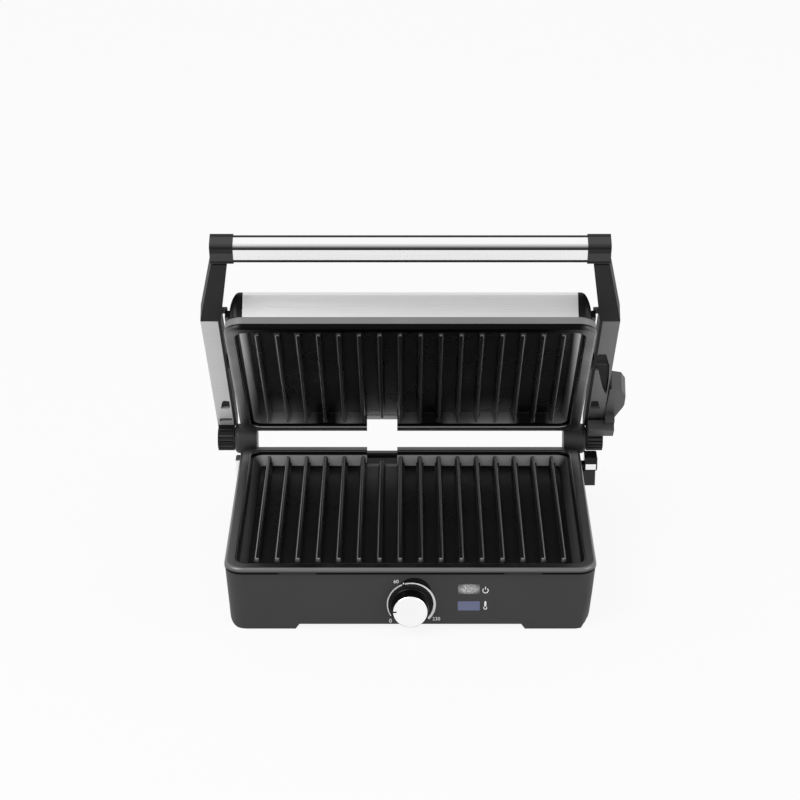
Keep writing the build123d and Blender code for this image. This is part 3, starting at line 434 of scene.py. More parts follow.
def rounded_section(width, height, corner):
    """A rounded rectangle in its own (u, v) plane, anticlockwise, as (u, v, how dark the corner's painted
    shade is there). Two points on each flat, a little way from the arc, end the painted dark line there."""
    quarter = np.radians(np.concatenate([(0, 0), np.linspace(0, 90, len(SOFT_CORNER_SHADE) - 4), (90, 90)]))
    parts = []
    for turn, (sign_u, sign_v) in enumerate(QUARTERS):
        angle = quarter + turn * math.pi / 2
        reach = HARD_REACH if turn else SOFT_REACH
        along = np.zeros(len(angle))
        along[:2] = (-reach - LINE_END, -reach)
        along[-2:] = (reach, reach + LINE_END)
        u = sign_u * (width / 2 - corner) + corner * np.cos(angle) - along * np.sin(angle)
        v = sign_v * (height / 2 - corner) + corner * np.sin(angle) + along * np.cos(angle)
        parts.append(np.stack([u, v, HARD_CORNER_SHADE if turn else SOFT_CORNER_SHADE], axis=-1))
    return np.concatenate(parts)


def square_bar(grown, x0, x1):
    """The handle's rounded section, grown by an amount and tilted, carried straight from x0 to x1, and opened
    with the handle. Comes with how dark the corners' painted shade is."""
    u, v, painted_shade = rounded_section(BAR_DEPTH + 2 * grown, BAR_THICKNESS + 2 * grown, BAR_CORNER).T
    turn = math.pi - BAR_TILT
    y = HINGE_Y + (u * math.cos(turn) - v * math.sin(turn) - BAR_REACH) * MM
    z = HINGE_Z + (u * math.sin(turn) + v * math.cos(turn) + BAR_RISE) * MM
    return closed_shell(opened(grid(np.array([[x0], [x1]]), y, z))), np.tile(painted_shade, 2)


# Marks on the panel, in millimetres over the panel's plane: x to the right, z up, y towards the back. Angles
# are in degrees, anticlockwise from the right.
MARK_PROUD = 0.12
MARK_SUNK = 0.1
# A black disc on the panel, up and right of the knob: a painted shadow of the knob.
KNOB_SHADOW_MIDDLE = (3.1, 32.6)
KNOB_SHADOW_RADIUS = 13.8
KNOB_SHADOW_PROUD = 0.05
RIM_BEVEL = 0.04
RING_MIDDLE = (0.8, 22.3)
RING_RADIUS = 19.6
RING_LEFT = (212, 113)
RING_RIGHT = (105, -43)
RING_WIDTHS = (1.05, 2.0)
RING_SWELL = 110
RING_DOT = (-5.4, 41.1)
RING_DOT_RADIUS = 0.75
DIGITS = (("0", 3.4, (-15.9, 7.4)), ("60", 3.0, (-11.4, 42.8)), ("230", 3.0, (20.8, 9.2)))
TYPE_SIZE = 1.42
POWER_SIGN = (60.0, 34.9)
POWER_ARC = (50, -230)
POWER_RADII = (2.5, 1.85)
POWER_BAR_RISE, POWER_BAR = 2.2, (1.3, 0.33)
HEAT_SIGN = (60.0, 21.4)
HEAT_BULB_DROP, HEAT_BULB_RADIUS = 2.2, 1.5
HEAT_TUBE_RISE, HEAT_TUBE = 0.5, (3.4, 0.8)
# A dark stadium that fills the notch in the knob's face: painted shade in the notch.
NOTCH_SHADE = (-12.3, 22.8)
NOTCH_SHADE_SIZE = (1.5, 0.6)


def band(middle, angles, outer, inner):
    """A flat ring or part of one, standing on the panel: at each angle a small rectangle from the inner
    radius to the outer one, carried round. Radii are one number or one for each angle."""
    angle = np.radians(angles)[:, None]
    radius = np.stack(np.broadcast_arrays(outer, inner, inner, outer, angles)[:4], axis=-1)
    depth = np.array([-MARK_PROUD, -MARK_PROUD, MARK_SUNK, MARK_SUNK])
    x, z = middle[0] + radius * np.cos(angle), middle[1] + radius * np.sin(angle)
    return flipped(closed_shell(grid(x, depth, z)))


def disc(middle, radius, proud=MARK_PROUD, steps=24):
    """A thin round plate on the panel: its rim drawn at the panel and at its face, closed by the face."""
    angle = np.radians(np.linspace(0, 360, steps, endpoint=False))
    rim = np.array([[radius], [radius], [radius - RIM_BEVEL]])
    depth = np.array([[MARK_SUNK], [RIM_BEVEL - proud], [-proud]])
    return closed_shell(grid(middle[0] + rim * np.cos(angle), depth, middle[1] + rim * np.sin(angle)))


def stadium(middle, half_length, half_width, upright=True, steps=12):
    """A thin bar with round ends on the panel: two half circles, drawn apart by the half length."""
    half = np.linspace(0, 180, steps)
    angle = np.radians(np.concatenate([half, half + 180]))
    shift = np.where(np.arange(2 * steps) < steps, half_length - half_width, half_width - half_length)
    across, along = half_width * np.cos(angle), half_width * np.sin(angle) + shift
    x, z = (across, along) if upright else (along, across)
    depth = np.array([[MARK_SUNK], [-MARK_PROUD]])
    shell = closed_shell(grid(middle[0] + x, depth, middle[1] + z))
    return shell if upright else flipped(shell)


def lettering(text, height, middle):
    """Numbers from the built-in typeface, made a mesh and stood up on the panel."""
    curve = bpy.data.curves.new(text, "FONT")
    curve.body = text
    curve.size = height * TYPE_SIZE
    curve.align_x = "CENTER"
    curve.align_y = "CENTER"
    curve.extrude = (MARK_PROUD + MARK_SUNK) / 2
    holder = placed(text, curve)
    bpy.context.view_layer.update()
    mesh = bpy.data.meshes.new_from_object(holder.evaluated_get(bpy.context.evaluated_depsgraph_get()))
    flat = np.empty(len(mesh.vertices) * 3)
    mesh.vertices.foreach_get("co", flat)
    faces = [tuple(face.vertices) for face in mesh.polygons]
    bpy.data.objects.remove(holder)
    bpy.data.meshes.remove(mesh)
    x, up, front = flat.reshape(-1, 3).T
    return np.stack([middle[0] + x, -front, middle[1] + up], axis=-1), faces


def on_panel(shell, y=PANEL_Y):
    """Millimetres on the panel to metres in the frame. Another y puts the shell on the knob's end."""
    points, faces = shell
    return points * MM + (0, y, 0), faces


def dial_ring():
    """The pale ring round the knob: thin at the left, thicker at the right, with a gap and a dot between."""
    left, right = np.linspace(*RING_LEFT, 30), np.linspace(*RING_RIGHT, 48)
    thin, thick = RING_WIDTHS
    width = thin + (thick - thin) * np.clip((RING_RIGHT[0] - right) / RING_SWELL, 0, 1) ** 1.5
    return joined(band(RING_MIDDLE, left, RING_RADIUS, RING_RADIUS - thin),
                  band(RING_MIDDLE, right, RING_RADIUS, RING_RADIUS - width),
                  disc(RING_DOT, RING_DOT_RADIUS, steps=20))


def power_sign():
    """An open ring with a short upright bar through its gap."""
    x, z = POWER_SIGN
    return joined(band(POWER_SIGN, np.linspace(*POWER_ARC, 32), *POWER_RADII),
                  stadium((x, z + POWER_BAR_RISE), *POWER_BAR))


def heat_sign():
    """A thermometer: a round bulb with a tube over it."""
    x, z = HEAT_SIGN
    return joined(disc((x, z - HEAT_BULB_DROP), HEAT_BULB_RADIUS),
                  stadium((x, z + HEAT_TUBE_RISE), *HEAT_TUBE))


def panel_marks():
    """All printing on the panel: the dial's ring, its numbers, a power sign and a thermometer sign."""
    return joined(dial_ring(), *(lettering(*digits) for digits in DIGITS), power_sign(), heat_sign())


# Shader nodes
BLACK = grey(0.0)
FLECK_TONE = grey(0.55)
STROKE_LENGTH = (0.006, 1.0, 1.0)
GROUP_OUTPUTS = {"Colour": "NodeSocketColor", "Roughness": "NodeSocketFloat", "Height": "NodeSocketFloat"}


def opaque(colour):
    return (*colour, 1.0)


def feed(tree, socket, value):
    """Link a socket to another one, or set it to a plain value."""
    if isinstance(value, bpy.types.NodeSocket):
        tree.links.new(value, socket)
    else:
        socket.default_value = value


def object_position(tree):
    return tree.nodes.new("ShaderNodeTexCoord").outputs["Object"]


def noise(tree, vector, scale, detail):
    node = tree.nodes.new("ShaderNodeTexNoise")
    for name, value in (("Vector", vector), ("Scale", scale), ("Detail", detail)):
        feed(tree, node.inputs[name], value)
    return node.outputs["Fac"]


def ranged(tree, value, low, high, from_low=0.3, from_high=0.7):
    """Map a value on to another range. The ends may be numbers or sockets."""
    node = tree.nodes.new("ShaderNodeMapRange")
    for name, end in (("Value", value), ("From Min", from_low), ("From Max", from_high), ("To Min", low),
                      ("To Max", high)):
        feed(tree, node.inputs[name], end)
    return node.outputs["Result"]


def blended(tree, factor, first, second):
    """Mix two colours, each a socket or a plain (r, g, b)."""
    node = tree.nodes.new("ShaderNodeMix")
    node.data_type = "RGBA"
    feed(tree, node.inputs["Factor"], factor)
    for name, colour in (("A", first), ("B", second)):
        socket = next(s for s in node.inputs if s.name == name and s.type == "RGBA")
        feed(tree, socket, opaque(colour) if isinstance(colour, tuple) else colour)
    return next(s for s in node.outputs if s.type == "RGBA")


def arithmetic(tree, operation, first, second=0.0):
    node = tree.nodes.new("ShaderNodeMath")
    node.operation = operation
    for socket, value in zip(node.inputs, (first, second)):
        feed(tree, socket, value)
    return node.outputs[0]


def times(tree, first, second):
    return arithmetic(tree, "MULTIPLY", first, second)


# Shared shader groups
def new_group(name, inputs):
    """An empty group, its input and output sockets and a socket of Object coordinates. An input whose value
    is a tuple is a colour, and the others are numbers."""
    group = bpy.data.node_groups.new(name, "ShaderNodeTree")
    for label, value in inputs.items():
        kind = "NodeSocketColor" if isinstance(value, tuple) else "NodeSocketFloat"
        group.interface.new_socket(label, in_out="INPUT", socket_type=kind).default_value = value
    for label, kind in GROUP_OUTPUTS.items():
        group.interface.new_socket(label, in_out="OUTPUT", socket_type=kind)
    start, end = group.nodes.new("NodeGroupInput"), group.nodes.new("NodeGroupOutput")
    return group, start.outputs, end.inputs, object_position(group)


def moulding_group():
    """Spark-eroded plastic: fine cells for the bump, and a slow drift of shade and gloss."""
    group, start, end, place = new_group("moulding_grain", {
        "Colour": opaque(grey(0.05)), "Gloss drift": 0.06, "Shade drift": 0.22, "Roughness": 0.45,
        "Grain": 1500.0})
    grain = group.nodes.new("ShaderNodeTexVoronoi")
    grain.feature = "SMOOTH_F1"
    feed(group, grain.inputs["Vector"], place)
    feed(group, grain.inputs["Scale"], start["Grain"])
    drift = noise(group, place, scale=22.0, detail=4.0)
    darker = times(group, drift, start["Shade drift"])
    feed(group, end["Colour"], blended(group, darker, start["Colour"], BLACK))
    spread = times(group, arithmetic(group, "SUBTRACT", drift, 0.5), start["Gloss drift"])
    feed(group, end["Roughness"], arithmetic(group, "ADD", start["Roughness"], spread))
    feed(group, end["Height"], grain.outputs["Distance"])
    return group


def coating_group():
    """Sprayed non-stick coating: an orange-peel bump, fine pale flecks and slightly uneven gloss."""
    group, start, end, place = new_group("nonstick_spray", {
        "Colour": opaque(grey(0.02)), "Fleck": 0.005, "Roughness": 0.4})
    fleck = noise(group, place, scale=2600.0, detail=1.0)
    mask = ranged(group, fleck, 0.0, start["Fleck"], from_low=0.68, from_high=0.74)
    feed(group, end["Colour"], blended(group, mask, start["Colour"], FLECK_TONE))
    drift = ranged(group, noise(group, place, scale=35.0, detail=3.0), -0.05, 0.05)
    feed(group, end["Roughness"], arithmetic(group, "ADD", start["Roughness"], drift))
    feed(group, end["Height"], noise(group, place, scale=420.0, detail=2.0))
    return group


def brushed_group():
    """Brushing along X: noise squeezed across the strokes, for shade, gloss and a fine bump."""
    group, start, end, place = new_group("brushed_strokes", {
        "Colour": opaque(grey(0.6)), "Contrast": 0.12, "Roughness": 0.28, "Fineness": 2200.0})
    stretch = group.nodes.new("ShaderNodeMapping")
    stretch.inputs["Scale"].default_value = STROKE_LENGTH
    feed(group, stretch.inputs["Vector"], place)
    strokes = noise(group, stretch.outputs["Vector"], start["Fineness"], detail=2.0)
    depth = times(group, ranged(group, strokes, 0.0, 1.0), start["Contrast"])
    feed(group, end["Colour"], blended(group, depth, start["Colour"], BLACK))
    feed(group, end["Roughness"], arithmetic(group, "ADD", start["Roughness"], depth))
    feed(group, end["Height"], strokes)
    return group


GROUP_MAKERS = {"moulding_grain": moulding_group, "nonstick_spray": coating_group,
                "brushed_strokes": brushed_group}


def shared_group(name):
    return bpy.data.node_groups.get(name) or GROUP_MAKERS[name]()


def finish_material(name, group_name, group_values, shader_values, bump, bump_distance, tint):
    """A Principled material whose colour, roughness and bump come from one shared group. The frame's own
    plain materials have bare names, so each finish has a name of its own, and is made once. A tint is a
    mask's name and the colour that it brings in."""
    full_name = f"{name} finish"
    material = bpy.data.materials.get(full_name)
    if material:
        return material
    material = bpy.data.materials.new(full_name)
    material.use_nodes = True
    tree = material.node_tree
    shader = tree.nodes["Principled BSDF"]
    effect = tree.nodes.new("ShaderNodeGroup")
    effect.node_tree = shared_group(group_name)
    for key, value in group_values.items():
        effect.inputs[key].default_value = opaque(value) if key == "Colour" else value
    for key, value in shader_values.items():
        shader.inputs[key].default_value = value
    relief = tree.nodes.new("ShaderNodeBump")
    relief.inputs["Strength"].default_value = bump
    relief.inputs["Distance"].default_value = bump_distance
    feed(tree, relief.inputs["Height"], effect.outputs["Height"])
    feed(tree, shader.inputs["Normal"], relief.outputs["Normal"])
    feed(tree, shader.inputs["Roughness"], effect.outputs["Roughness"])
    feed(tree, shader.inputs["Base Color"], effect.outputs["Colour"])
    if tint:
        mask = tree.nodes.new("ShaderNodeAttribute")
        mask.attribute_name = tint[0]
        painted(material, mask.outputs["Fac"], tint[1])
    return material


def painted(material, mask, colour):
    """Bring a colour into a material's base colour, as far as a mask says."""
    tree = material.node_tree
    base = tree.nodes["Principled BSDF"].inputs["Base Color"]
    feed(tree, base, blended(tree, mask, base.links[0].from_socket, colour))


def colours():
    return bpy.context.scene.grill_colours


def sizes():
    return bpy.context.scene.grill_sizes


# How deep the bumps are, in metres, and how strong the coating's is
GRAIN_DEPTH = 0.00005
PEEL_DEPTH = 0.00008
STROKE_DEPTH = 0.00003
PEEL_BUMP = 0.03
SATIN = dict(roughness=0.42, contrast=0.08, fineness=2600.0, bump=0.04, metallic=0.6)


def moulded(name, colour, roughness=0.42, grain=1500.0, bump=0.15, specular=0.5, clear=0.0, tint=None,
            shade_drift=0.22):
    values = {"Colour": colour, "Roughness": roughness, "Grain": grain, "Shade drift": shade_drift}
    shader_values = {"Specular IOR Level": specular, "Transmission Weight": clear}
    return finish_material(name, "moulding_grain", values, shader_values, bump, GRAIN_DEPTH, tint)


# By default a coating is painted pale grey where its mask of painted highlights says.
def coated(name, colour, roughness, tint=("painted_light", grey(0.5)), **shader_values):
    values = {"Colour": colour, "Roughness": roughness}
    return finish_material(name, "nonstick_spray", values, shader_values, PEEL_BUMP, PEEL_DEPTH, tint)


def metal(name, colour, roughness, contrast, fineness, bump, metallic=1.0, tint=None):
    values = {"Colour": colour, "Roughness": roughness, "Contrast": contrast, "Fineness": fineness}
    return finish_material(name, "brushed_strokes", values, {"Metallic": metallic}, bump, STROKE_DEPTH, tint)


# Each finish: how it is made, its colour or the name of the user's colour, and its values
FINISHES = {
    "housing_plastic": (moulded, "housing", dict(roughness=0.5, grain=1300.0, bump=0.25, specular=0.35)),
    "black_plastic": (moulded, "moulding", dict(roughness=0.22, grain=1800.0, bump=0.04, specular=0.22)),
    "arm_plastic": (moulded, "arms", dict(roughness=0.5, bump=0.12, specular=0.05)),
    "knob_plastic": (moulded, grey(0.003), dict(roughness=0.28, bump=0.04, specular=0.14)),
    # The heads take dark lines of painted shade along their rounded corners.
    "head_plastic": (moulded, grey(0.055), dict(roughness=0.4, bump=0.05, specular=0.2,
                                                tint=("corner", grey(0.002)))),
    "dial_black": (moulded, grey(0.003), dict(roughness=0.35, bump=0.05, specular=0.1)),
    "lever_plastic": (moulded, grey(0.07), dict(roughness=0.5)),
    "frame_plastic": (moulded, grey(0.25), dict(bump=0.1)),
    "panel_ink": (moulded, grey(0.98), dict(roughness=0.5, grain=900.0, bump=0.03, shade_drift=0.02)),
    "foot_rubber": (moulded, grey(0.025), dict(roughness=0.75, grain=900.0, bump=0.3, specular=0.25)),
    "connector_plastic": (moulded, (0.62, 0.61, 0.57), dict(roughness=0.45)),
    "board_green": (moulded, (0.03, 0.17, 0.07), dict(roughness=0.3, grain=700.0, bump=0.1)),
    "lamp_glass": (moulded, (0.8, 0.8, 0.85), dict(roughness=0.1, grain=500.0, bump=0.02, clear=0.8)),
    # The coating finishes are copies of one non-stick coating, their colour and IOR set apart zone by zone as
    # painted light and painted shade.
    "lower_coating": (coated, "coating", dict(roughness=0.3, IOR=1.12)),
    "upper_coating": (coated, "coating", dict(roughness=0.3, IOR=1.45)),
    "lower_slope": (coated, "coating", dict(roughness=0.4, IOR=1.2, tint=("painted_light", grey(0.9)))),
    "upper_slope": (coated, grey(0.003), dict(roughness=0.4, IOR=1.15, tint=("painted_light", grey(0.9)))),
    # The rim's colour is painted reflection and painted shade, as far as its mask says.
    "rim_coating": (coated, grey(0.006), dict(roughness=0.32, Metallic=1.0, tint=("painted_reflection", grey(0.31)))),
    "spout_coating": (coated, grey(0.003), dict(roughness=0.5, IOR=1.15)),
    "stainless_sheet": (metal, "stainless", dict(roughness=0.3, contrast=0.16, fineness=2600.0, bump=0.08)),
    # The bar takes dark lines of painted shade along its rounded corners.
    "polished_bar": (metal, "bar", dict(roughness=0.22, contrast=0.04, fineness=3200.0, bump=0.02,
                                        tint=("corner", grey(0.03)))),
    # One satin cover, with painted light in the left colour and painted shade in the right one.
    "satin_cover left": (metal, "satin", SATIN),
    "satin_cover right": (metal, "right_satin_shaded", SATIN),
    "bright_trim": (metal, grey(0.98), dict(roughness=0.25, contrast=0.04, fineness=3200.0, bump=0.02)),
    "zinc_plate": (metal, (0.62, 0.62, 0.6), dict(roughness=0.35, contrast=0.15, fineness=900.0, bump=0.08)),
    "black_steel": (metal, grey(0.012), dict(roughness=0.4, contrast=0.1, fineness=900.0, bump=0.05,
                                             metallic=0.5)),
    "pan_sheet": (metal, grey(0.72), dict(roughness=0.32, contrast=0.2, fineness=700.0, bump=0.1)),
    "heater_tube": (metal, (0.3, 0.28, 0.26), dict(roughness=0.5, contrast=0.3, fineness=500.0, bump=0.15)),
}


def finish(name):
    """The material of a finish, made the first time it is asked for."""
    kind, colour, values = FINISHES[name]
    return kind(name, getattr(colours(), colour) if isinstance(colour, str) else colour, **values)


# Soft pale patches of painted reflection on the lid's coating: their noise, how they fade, their heights over
# the plate's rear edge
PATCH_NOISE = 22.0
PATCH_RANGE = (0.44, 0.58)
PATCH_LOW, PATCH_HIGH = 0.012, 0.05
PATCH_FADE = 1.6
PATCH_END, PATCH_ENDED = 0.003, 0.3
PATCH_REFLECTION_TONE = grey(0.3)

# Flutes painted round the arms' hubs, with painted shade in the grooves and painted highlight on the lands:
# the rim and the width that they cover, and the groove's share of one flute
FLUTES = 20
HUB_RIM = (0.0105, 0.0126)
HUB_ENDS = (0.1566, 0.1692)
HUB_EDGE = 0.0002
GROOVE = (0.38, 0.62)
GROOVE_EDGE = 0.12
LAND_PAINTED_HIGHLIGHT = grey(0.06)
GROOVE_PAINTED_SHADE = grey(0.003)

# The light that shows in the power window
LIGHT_MIDDLE = (0.0468, PANEL_Y, 0.0362)
LIGHT_SPREAD = (0.0105, 0.01, 0.005)
LIGHT_TONE = grey(0.62)
POWER_TINT = (0.05, 0.05, 0.052)
READY_GLOW = 0.25


def coordinates(tree):
    """A point's X, Y and Z in the frame, as sockets."""
    apart = tree.nodes.new("ShaderNodeSeparateXYZ")
    feed(tree, apart.inputs["Vector"], object_position(tree))
    return apart.outputs["X"], apart.outputs["Y"], apart.outputs["Z"]


def combined(tree, x, y=0.0):
    node = tree.nodes.new("ShaderNodeCombineXYZ")
    feed(tree, node.inputs["X"], x)
    feed(tree, node.inputs["Y"], y)
    return node.outputs["Vector"]


def gradient(tree, kind, vector):
    node = tree.nodes.new("ShaderNodeTexGradient")
    node.gradient_type = kind
    feed(tree, node.inputs["Vector"], vector)
    return node.outputs["Fac"]


def painted_reflection_patches(material):
    """Soft lighter patches of painted reflection: noise that varies only along X, faded out with height over
    the plate's rear edge, and weaker again on the slope below. A material gets them once."""
    tree = material.node_tree
    x, _, z = coordinates(tree)
    patches = ranged(tree, noise(tree, combined(tree, x), PATCH_NOISE, detail=1.0), 0.0, 1.0, *PATCH_RANGE)
    fade = ranged(tree, z, 1.0, 0.0, LID_REAR_Z + PATCH_LOW, LID_REAR_Z + PATCH_HIGH)
    below = ranged(tree, z, PATCH_ENDED, 1.0, LID_REAR_Z + PATCH_END, LID_REAR_Z + PATCH_LOW)
    mask = times(tree, patches, arithmetic(tree, "POWER", fade, PATCH_FADE))
    painted(material, times(tree, mask, below), PATCH_REFLECTION_TONE)
    return material


def window_glass(name, colour, glow):
    """A tinted lens over a dark recess, with a soft light of its own colour behind it."""
    material = moulded(name, colour, roughness=0.18, grain=500.0, bump=0.02)
    shader = material.node_tree.nodes["Principled BSDF"]
    shader.inputs["Coat Weight"].default_value = 0.6
    shader.inputs["Emission Color"].default_value = opaque(colour)
    shader.inputs["Emission Strength"].default_value = glow
    return material


def lamp_pattern(material):
    """Light behind a window: an oval patch, brightest at its middle and broken by fine noise."""
    tree = material.node_tree
    place = object_position(tree)
    shift = tree.nodes.new("ShaderNodeMapping")
    shift.vector_type = "TEXTURE"
    for name, value in (("Vector", place), ("Location", LIGHT_MIDDLE), ("Scale", LIGHT_SPREAD)):
        feed(tree, shift.inputs[name], value)
    broken = ranged(tree, noise(tree, place, scale=900.0, detail=1.0), 0.35, 1.0, from_low=0.4, from_high=0.6)
    ball = gradient(tree, "SPHERICAL", shift.outputs["Vector"])
    bright = ranged(tree, ball, 0.0, 1.0, from_low=0.0, from_high=0.5)
    painted(material, times(tree, bright, broken), LIGHT_TONE)
    return material


def between(tree, value, low, high, edge):
    """1 where a value lies between two limits, 0 outside, with soft edges."""
    return times(tree, ranged(tree, value, 0.0, 1.0, low - edge, low),
                 ranged(tree, value, 1.0, 0.0, high, high + edge))


def hubs_with_painted_flutes(material):
    """Flutes painted round the arms' hubs: the angle about the hinge axis, cut into equal parts, gives
    grooves of painted shade between lands of painted highlight, only at the hub's radius and along its width.
    A material gets them once."""
    tree = material.node_tree
    x, y, z = coordinates(tree)
    from_axis = combined(tree, arithmetic(tree, "SUBTRACT", y, HINGE_Y),
                         arithmetic(tree, "SUBTRACT", z, HINGE_Z))
    reach = tree.nodes.new("ShaderNodeVectorMath")
    reach.operation = "LENGTH"
    feed(tree, reach.inputs[0], from_axis)
    part = arithmetic(tree, "FRACT", times(tree, gradient(tree, "RADIAL", from_axis), FLUTES))
    hub = times(tree, between(tree, reach.outputs["Value"], *HUB_RIM, HUB_EDGE),
                between(tree, arithmetic(tree, "ABSOLUTE", x), *HUB_ENDS, HUB_EDGE))
    painted(material, hub, LAND_PAINTED_HIGHLIGHT)
    painted(material, times(tree, between(tree, part, *GROOVE, GROOVE_EDGE), hub), GROOVE_PAINTED_SHADE)
    return material


def dress(finishes):
    """Give carried-over CAD nodes their finishes: each node with a finish's name or a material."""
    for node, material in finishes.items():
        mesh = frame["nodes"][node].data
        mesh.materials.clear()
        mesh.materials.append(finish(material) if isinstance(material, str) else material)


class GRILL_OT_base(bpy.types.Operator):
    """Finish the base: housing, floor, feet, gland and drip tray"""
    bl_idname = "grill.base"
    bl_label = "Base"

    def execute(self, context):
        dress({"lower_housing": "housing_plastic", "bottom_cover": "housing_plastic",
               "grease_tray": "housing_plastic", "foot_pads": "foot_rubber", "cord_gland": "foot_rubber",
               "bottom_screws": "zinc_plate", "hinge_pins": "zinc_plate", "left_latch_trim": "bright_trim",
               "release_button": "black_plastic", "release_button_trim": "bright_trim"})
        return {"FINISHED"}


class GRILL_OT_panel(bpy.types.Operator):
    """Finish the front panel: dial, knob, windows and lamps"""
    bl_idname = "grill.front_panel"
    bl_label = "Front panel"

    def execute(self, context):
        # A thin black disc of painted shadow behind the knob.
        knob_shadow = disc(KNOB_SHADOW_MIDDLE, KNOB_SHADOW_RADIUS, KNOB_SHADOW_PROUD, steps=64)
        notch_shade = stadium(NOTCH_SHADE, *NOTCH_SHADE_SIZE, upright=False)
        piece("painted_knob_shadow", on_panel(knob_shadow), "base", finish("dial_black"))
        piece("panel_marks", on_panel(panel_marks()), "base", finish("panel_ink"), sharp=30.0)
        # The notch in the knob's face is filled dark as painted shade.
        piece("knob_notch_shade", on_panel(notch_shade, KNOB_FACE_Y), "temperature_knob", finish("dial_black"))
        dress({"dial_plate": "dial_black", "knob": "knob_plastic", "knob_face": "bright_trim",
               "thermostat": "connector_plastic", "thermostat_nut": "zinc_plate",
               "thermostat_shaft": "zinc_plate",
               "power_window": lamp_pattern(window_glass("power_window", POWER_TINT, 0.0)),
               "ready_window": window_glass("ready_window", colours().window, READY_GLOW),
               "indicator_board": "board_green", "indicator_lamps": "lamp_glass"})
        return {"FINISHED"}


class GRILL_OT_heating(bpy.types.Operator):
    """Finish the hidden heating parts of both halves"""
    bl_idname = "grill.heating"
    bl_label = "Heating"

    def execute(self, context):
        for half in ("lower", "upper"):
            dress({f"{half}_reflector": "pan_sheet", f"{half}_element_clips": "pan_sheet",
                   f"{half}_thermal_fuse": "pan_sheet", f"{half}_heating_element": "heater_tube"})
        dress({"terminal_block": "connector_plastic"})
        return {"FINISHED"}


class GRILL_OT_plates(bpy.types.Operator):
    """Make the two ribbed plates"""
    bl_idname = "grill.plates"
    bl_label = "Plates"

    def execute(self, context):
        plate, rib_highlight, place, zones = ribbed_plate()
        # Painted highlights on the ribs' shoulders and ends and painted reflection on the slopes go into one
        # mask.
        lower = {"painted_light": np.maximum(rib_highlight ** LOWER_HIGHLIGHT_POWER, slope_painted_light(place, False)),
                 "painted_reflection": rim_painted_reflection(place, False)}
        upper = {"painted_light": np.maximum(rib_highlight, slope_painted_light(place, True)), "painted_reflection": rim_painted_reflection(place, True)}
        rim = finish("rim_coating")
        piece("lower_plate_cast", on_base(plate), "base",
              [finish("lower_coating"), rim, finish("lower_slope"), finish("spout_coating")],
              ["lower_plate"], masks=lower, zones=zones)
        piece("upper_plate_cast", on_lid(plate), "lid",
              [painted_reflection_patches(finish("upper_coating")), rim, painted_reflection_patches(finish("upper_slope")), rim],
              ["upper_plate"], masks=upper, zones=zones)
        return {"FINISHED"}


class GRILL_OT_lid(bpy.types.Operator):
    """Finish the lid: stainless cover, end caps and band"""
    bl_idname = "grill.lid"
    bl_label = "Lid"

    def execute(self, context):
        dress({"upper_cover": "stainless_sheet", "upper_frame": "frame_plastic",
               "left_end_cap": "black_plastic", "right_end_cap": "black_plastic"})
        return {"FINISHED"}


class GRILL_OT_handle(bpy.types.Operator):
    """Finish the handle: arms, covers, bar, sockets, discs, pegs and lever"""
    bl_idname = "grill.handle"
    bl_label = "Handle"

    def execute(self, context):
        # The arms' hubs get flutes of painted shade and painted highlight.
        arm = hubs_with_painted_flutes(finish("arm_plastic"))
        # The corner masks paint dark lines of painted shade along the rounded corners of the bar and the
        # heads.
        bar, corner = square_bar(0.0, BAR_LOW.x, BAR_HIGH.x)
        piece("handle_bar_tube", bar, "handle", finish("polished_bar"), ["handle_bar"],
              masks={"corner": corner})
        for side, sign in (("left", -1), ("right", 1)):
            dress({f"{side}_arm": arm, f"{side}_arm_cover": f"satin_cover {side}"})
            ends = sorted((sign * HEAD_INNER_X * MM, sign * HEAD_OUTER_X * MM))
            head, corner = square_bar(HEAD_STAND, *ends)
            piece(f"{side}_head", head, "handle", finish("head_plastic"),
                  masks={"corner": corner})
        dress({"hinge_end_discs": "black_plastic", "stop_pegs": "lever_plastic",
               "lid_pivot_pins": "black_steel", "lever_pin": "zinc_plate", "release_lever": "lever_plastic"})
        return {"FINISHED"}


# The lamps and the table, in metres
KEY_PLACE, KEY_SIZE = (-1.1, -0.9, 1.5), 1.2
FILL_PLACE, FILL_SIZE = (1.4, -0.6, 0.9), 1.0
LAMP_TARGET = (0, 0, 0.1)
TABLE_HALF = 6.0
TABLE_WHITE = grey(0.86)
TABLE_GLOW = 0.9


def lamp(name, position, size, power):
    """A square area lamp that looks at the grill."""
    data = bpy.data.lights.new(name, "AREA")
    data.size = size
    data.energy = power
    obj = placed(name, data)
    obj.location = position
    obj.rotation_euler = (Vector(LAMP_TARGET) - Vector(position)).to_track_quat("-Z", "Y").to_euler()


def ray_of(tree, *kinds):
    """1 for a ray of one of these kinds, 0 for any other."""
    outputs = tree.nodes.new("ShaderNodeLightPath").outputs
    seen = outputs[kinds[0]]
    for kind in kinds[1:]:
        seen = arithmetic(tree, "MAXIMUM", seen, outputs[kind])
    return seen


def plain_world(strength):
    """Even grey light, shown as plain white to the camera, to metal and through glass."""
    world = bpy.data.worlds.new("studio")
    world.use_nodes = True
    tree = world.node_tree
    light = tree.nodes["Background"]
    light.inputs["Color"].default_value = (1, 1, 1, 1)
    seen = ray_of(tree, "Is Camera Ray", "Is Glossy Ray", "Is Transmission Ray")
    feed(tree, light.inputs["Strength"], ranged(tree, seen, strength, 1.0, from_low=0.0, from_high=1.0))
    bpy.context.scene.world = world


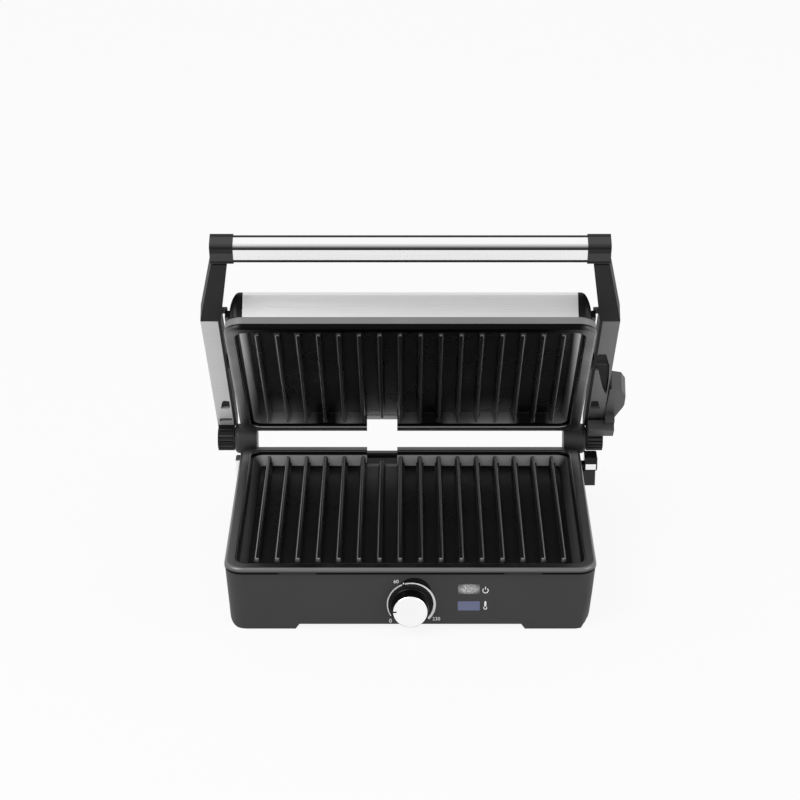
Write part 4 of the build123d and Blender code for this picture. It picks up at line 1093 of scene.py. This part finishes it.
def floor_material():
    """White table top: a diffuse white that the camera sees partly as plain white, so that shadows stay
    soft."""
    material = bpy.data.materials.new("stage_floor")
    material.use_nodes = True
    tree = material.node_tree
    shader = tree.nodes["Principled BSDF"]
    shader.inputs["Base Color"].default_value = opaque(TABLE_WHITE)
    shader.inputs["Roughness"].default_value = 0.9
    glow = tree.nodes.new("ShaderNodeEmission")
    glow.inputs["Strength"].default_value = 1.0
    mix = tree.nodes.new("ShaderNodeMixShader")
    feed(tree, mix.inputs["Fac"], times(tree, ray_of(tree, "Is Camera Ray", "Is Glossy Ray"), TABLE_GLOW))
    feed(tree, mix.inputs[1], shader.outputs["BSDF"])
    feed(tree, mix.inputs[2], glow.outputs["Emission"])
    feed(tree, tree.nodes["Material Output"].inputs["Surface"], mix.outputs["Shader"])
    return material


class GRILL_OT_stage(bpy.types.Operator):
    """Set up the table, the lamps, the even light and the camera"""
    bl_idname = "grill.stage"
    bl_label = "Stage"

    def execute(self, context):
        scene = context.scene
        settings = scene.grill_stage
        mesh = bpy.data.meshes.new("floor")
        mesh.from_pydata([(x * TABLE_HALF, y * TABLE_HALF, 0) for x, y in QUARTERS], [], [(0, 1, 2, 3)])
        mesh.materials.append(floor_material())
        floor = placed("floor", mesh)
        lamp("key_lamp", KEY_PLACE, KEY_SIZE, settings.key_power)
        lamp("fill_lamp", FILL_PLACE, FILL_SIZE, settings.fill_power)
        plain_world(settings.world_strength)
        camera_data = bpy.data.cameras.new("camera")
        camera_data.lens = settings.camera_lens
        camera_data.sensor_width = 36.0
        camera_data.shift_x = settings.camera_shift
        camera = placed("camera", camera_data)
        camera.location = (0, -settings.camera_distance, settings.camera_height)
        camera.rotation_euler = (math.pi / 2 - settings.camera_pitch, 0, 0)
        scene.camera = camera
        scene.view_settings.view_transform = "Standard"
        return {"FINISHED"}


class GRILL_PT_sidebar(bpy.types.Panel):
    """Lists the steps in the sidebar"""
    bl_label = "Contact grill"
    bl_idname = "GRILL_PT_sidebar"
    bl_space_type = "VIEW_3D"
    bl_region_type = "UI"
    bl_category = "Grill"

    def draw(self, context):
        for group in (context.scene.grill_sizes, context.scene.grill_colours, context.scene.grill_stage):
            for name in group.__annotations__:
                self.layout.prop(group, name)
        for operator in OPERATORS:
            self.layout.operator(operator.bl_idname)


OPERATORS = (GRILL_OT_base, GRILL_OT_panel, GRILL_OT_heating, GRILL_OT_plates, GRILL_OT_lid, GRILL_OT_handle,
             GRILL_OT_stage)
GROUPS = {"grill_sizes": GrillSizes, "grill_colours": GrillColours, "grill_stage": StageSettings}


def register():
    for entry in (*GROUPS.values(), *OPERATORS, GRILL_PT_sidebar):
        bpy.utils.register_class(entry)
    for name, group in GROUPS.items():
        setattr(bpy.types.Scene, name, PointerProperty(type=group))


def unregister():
    for name in GROUPS:
        delattr(bpy.types.Scene, name)
    for entry in (GRILL_PT_sidebar, *OPERATORS, *GROUPS.values()):
        bpy.utils.unregister_class(entry)


def main():
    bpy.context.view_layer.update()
    register()
    for operator in OPERATORS:
        group, action = operator.bl_idname.split(".")
        getattr(getattr(bpy.ops, group), action)()


if __name__ == "__main__":
    main()
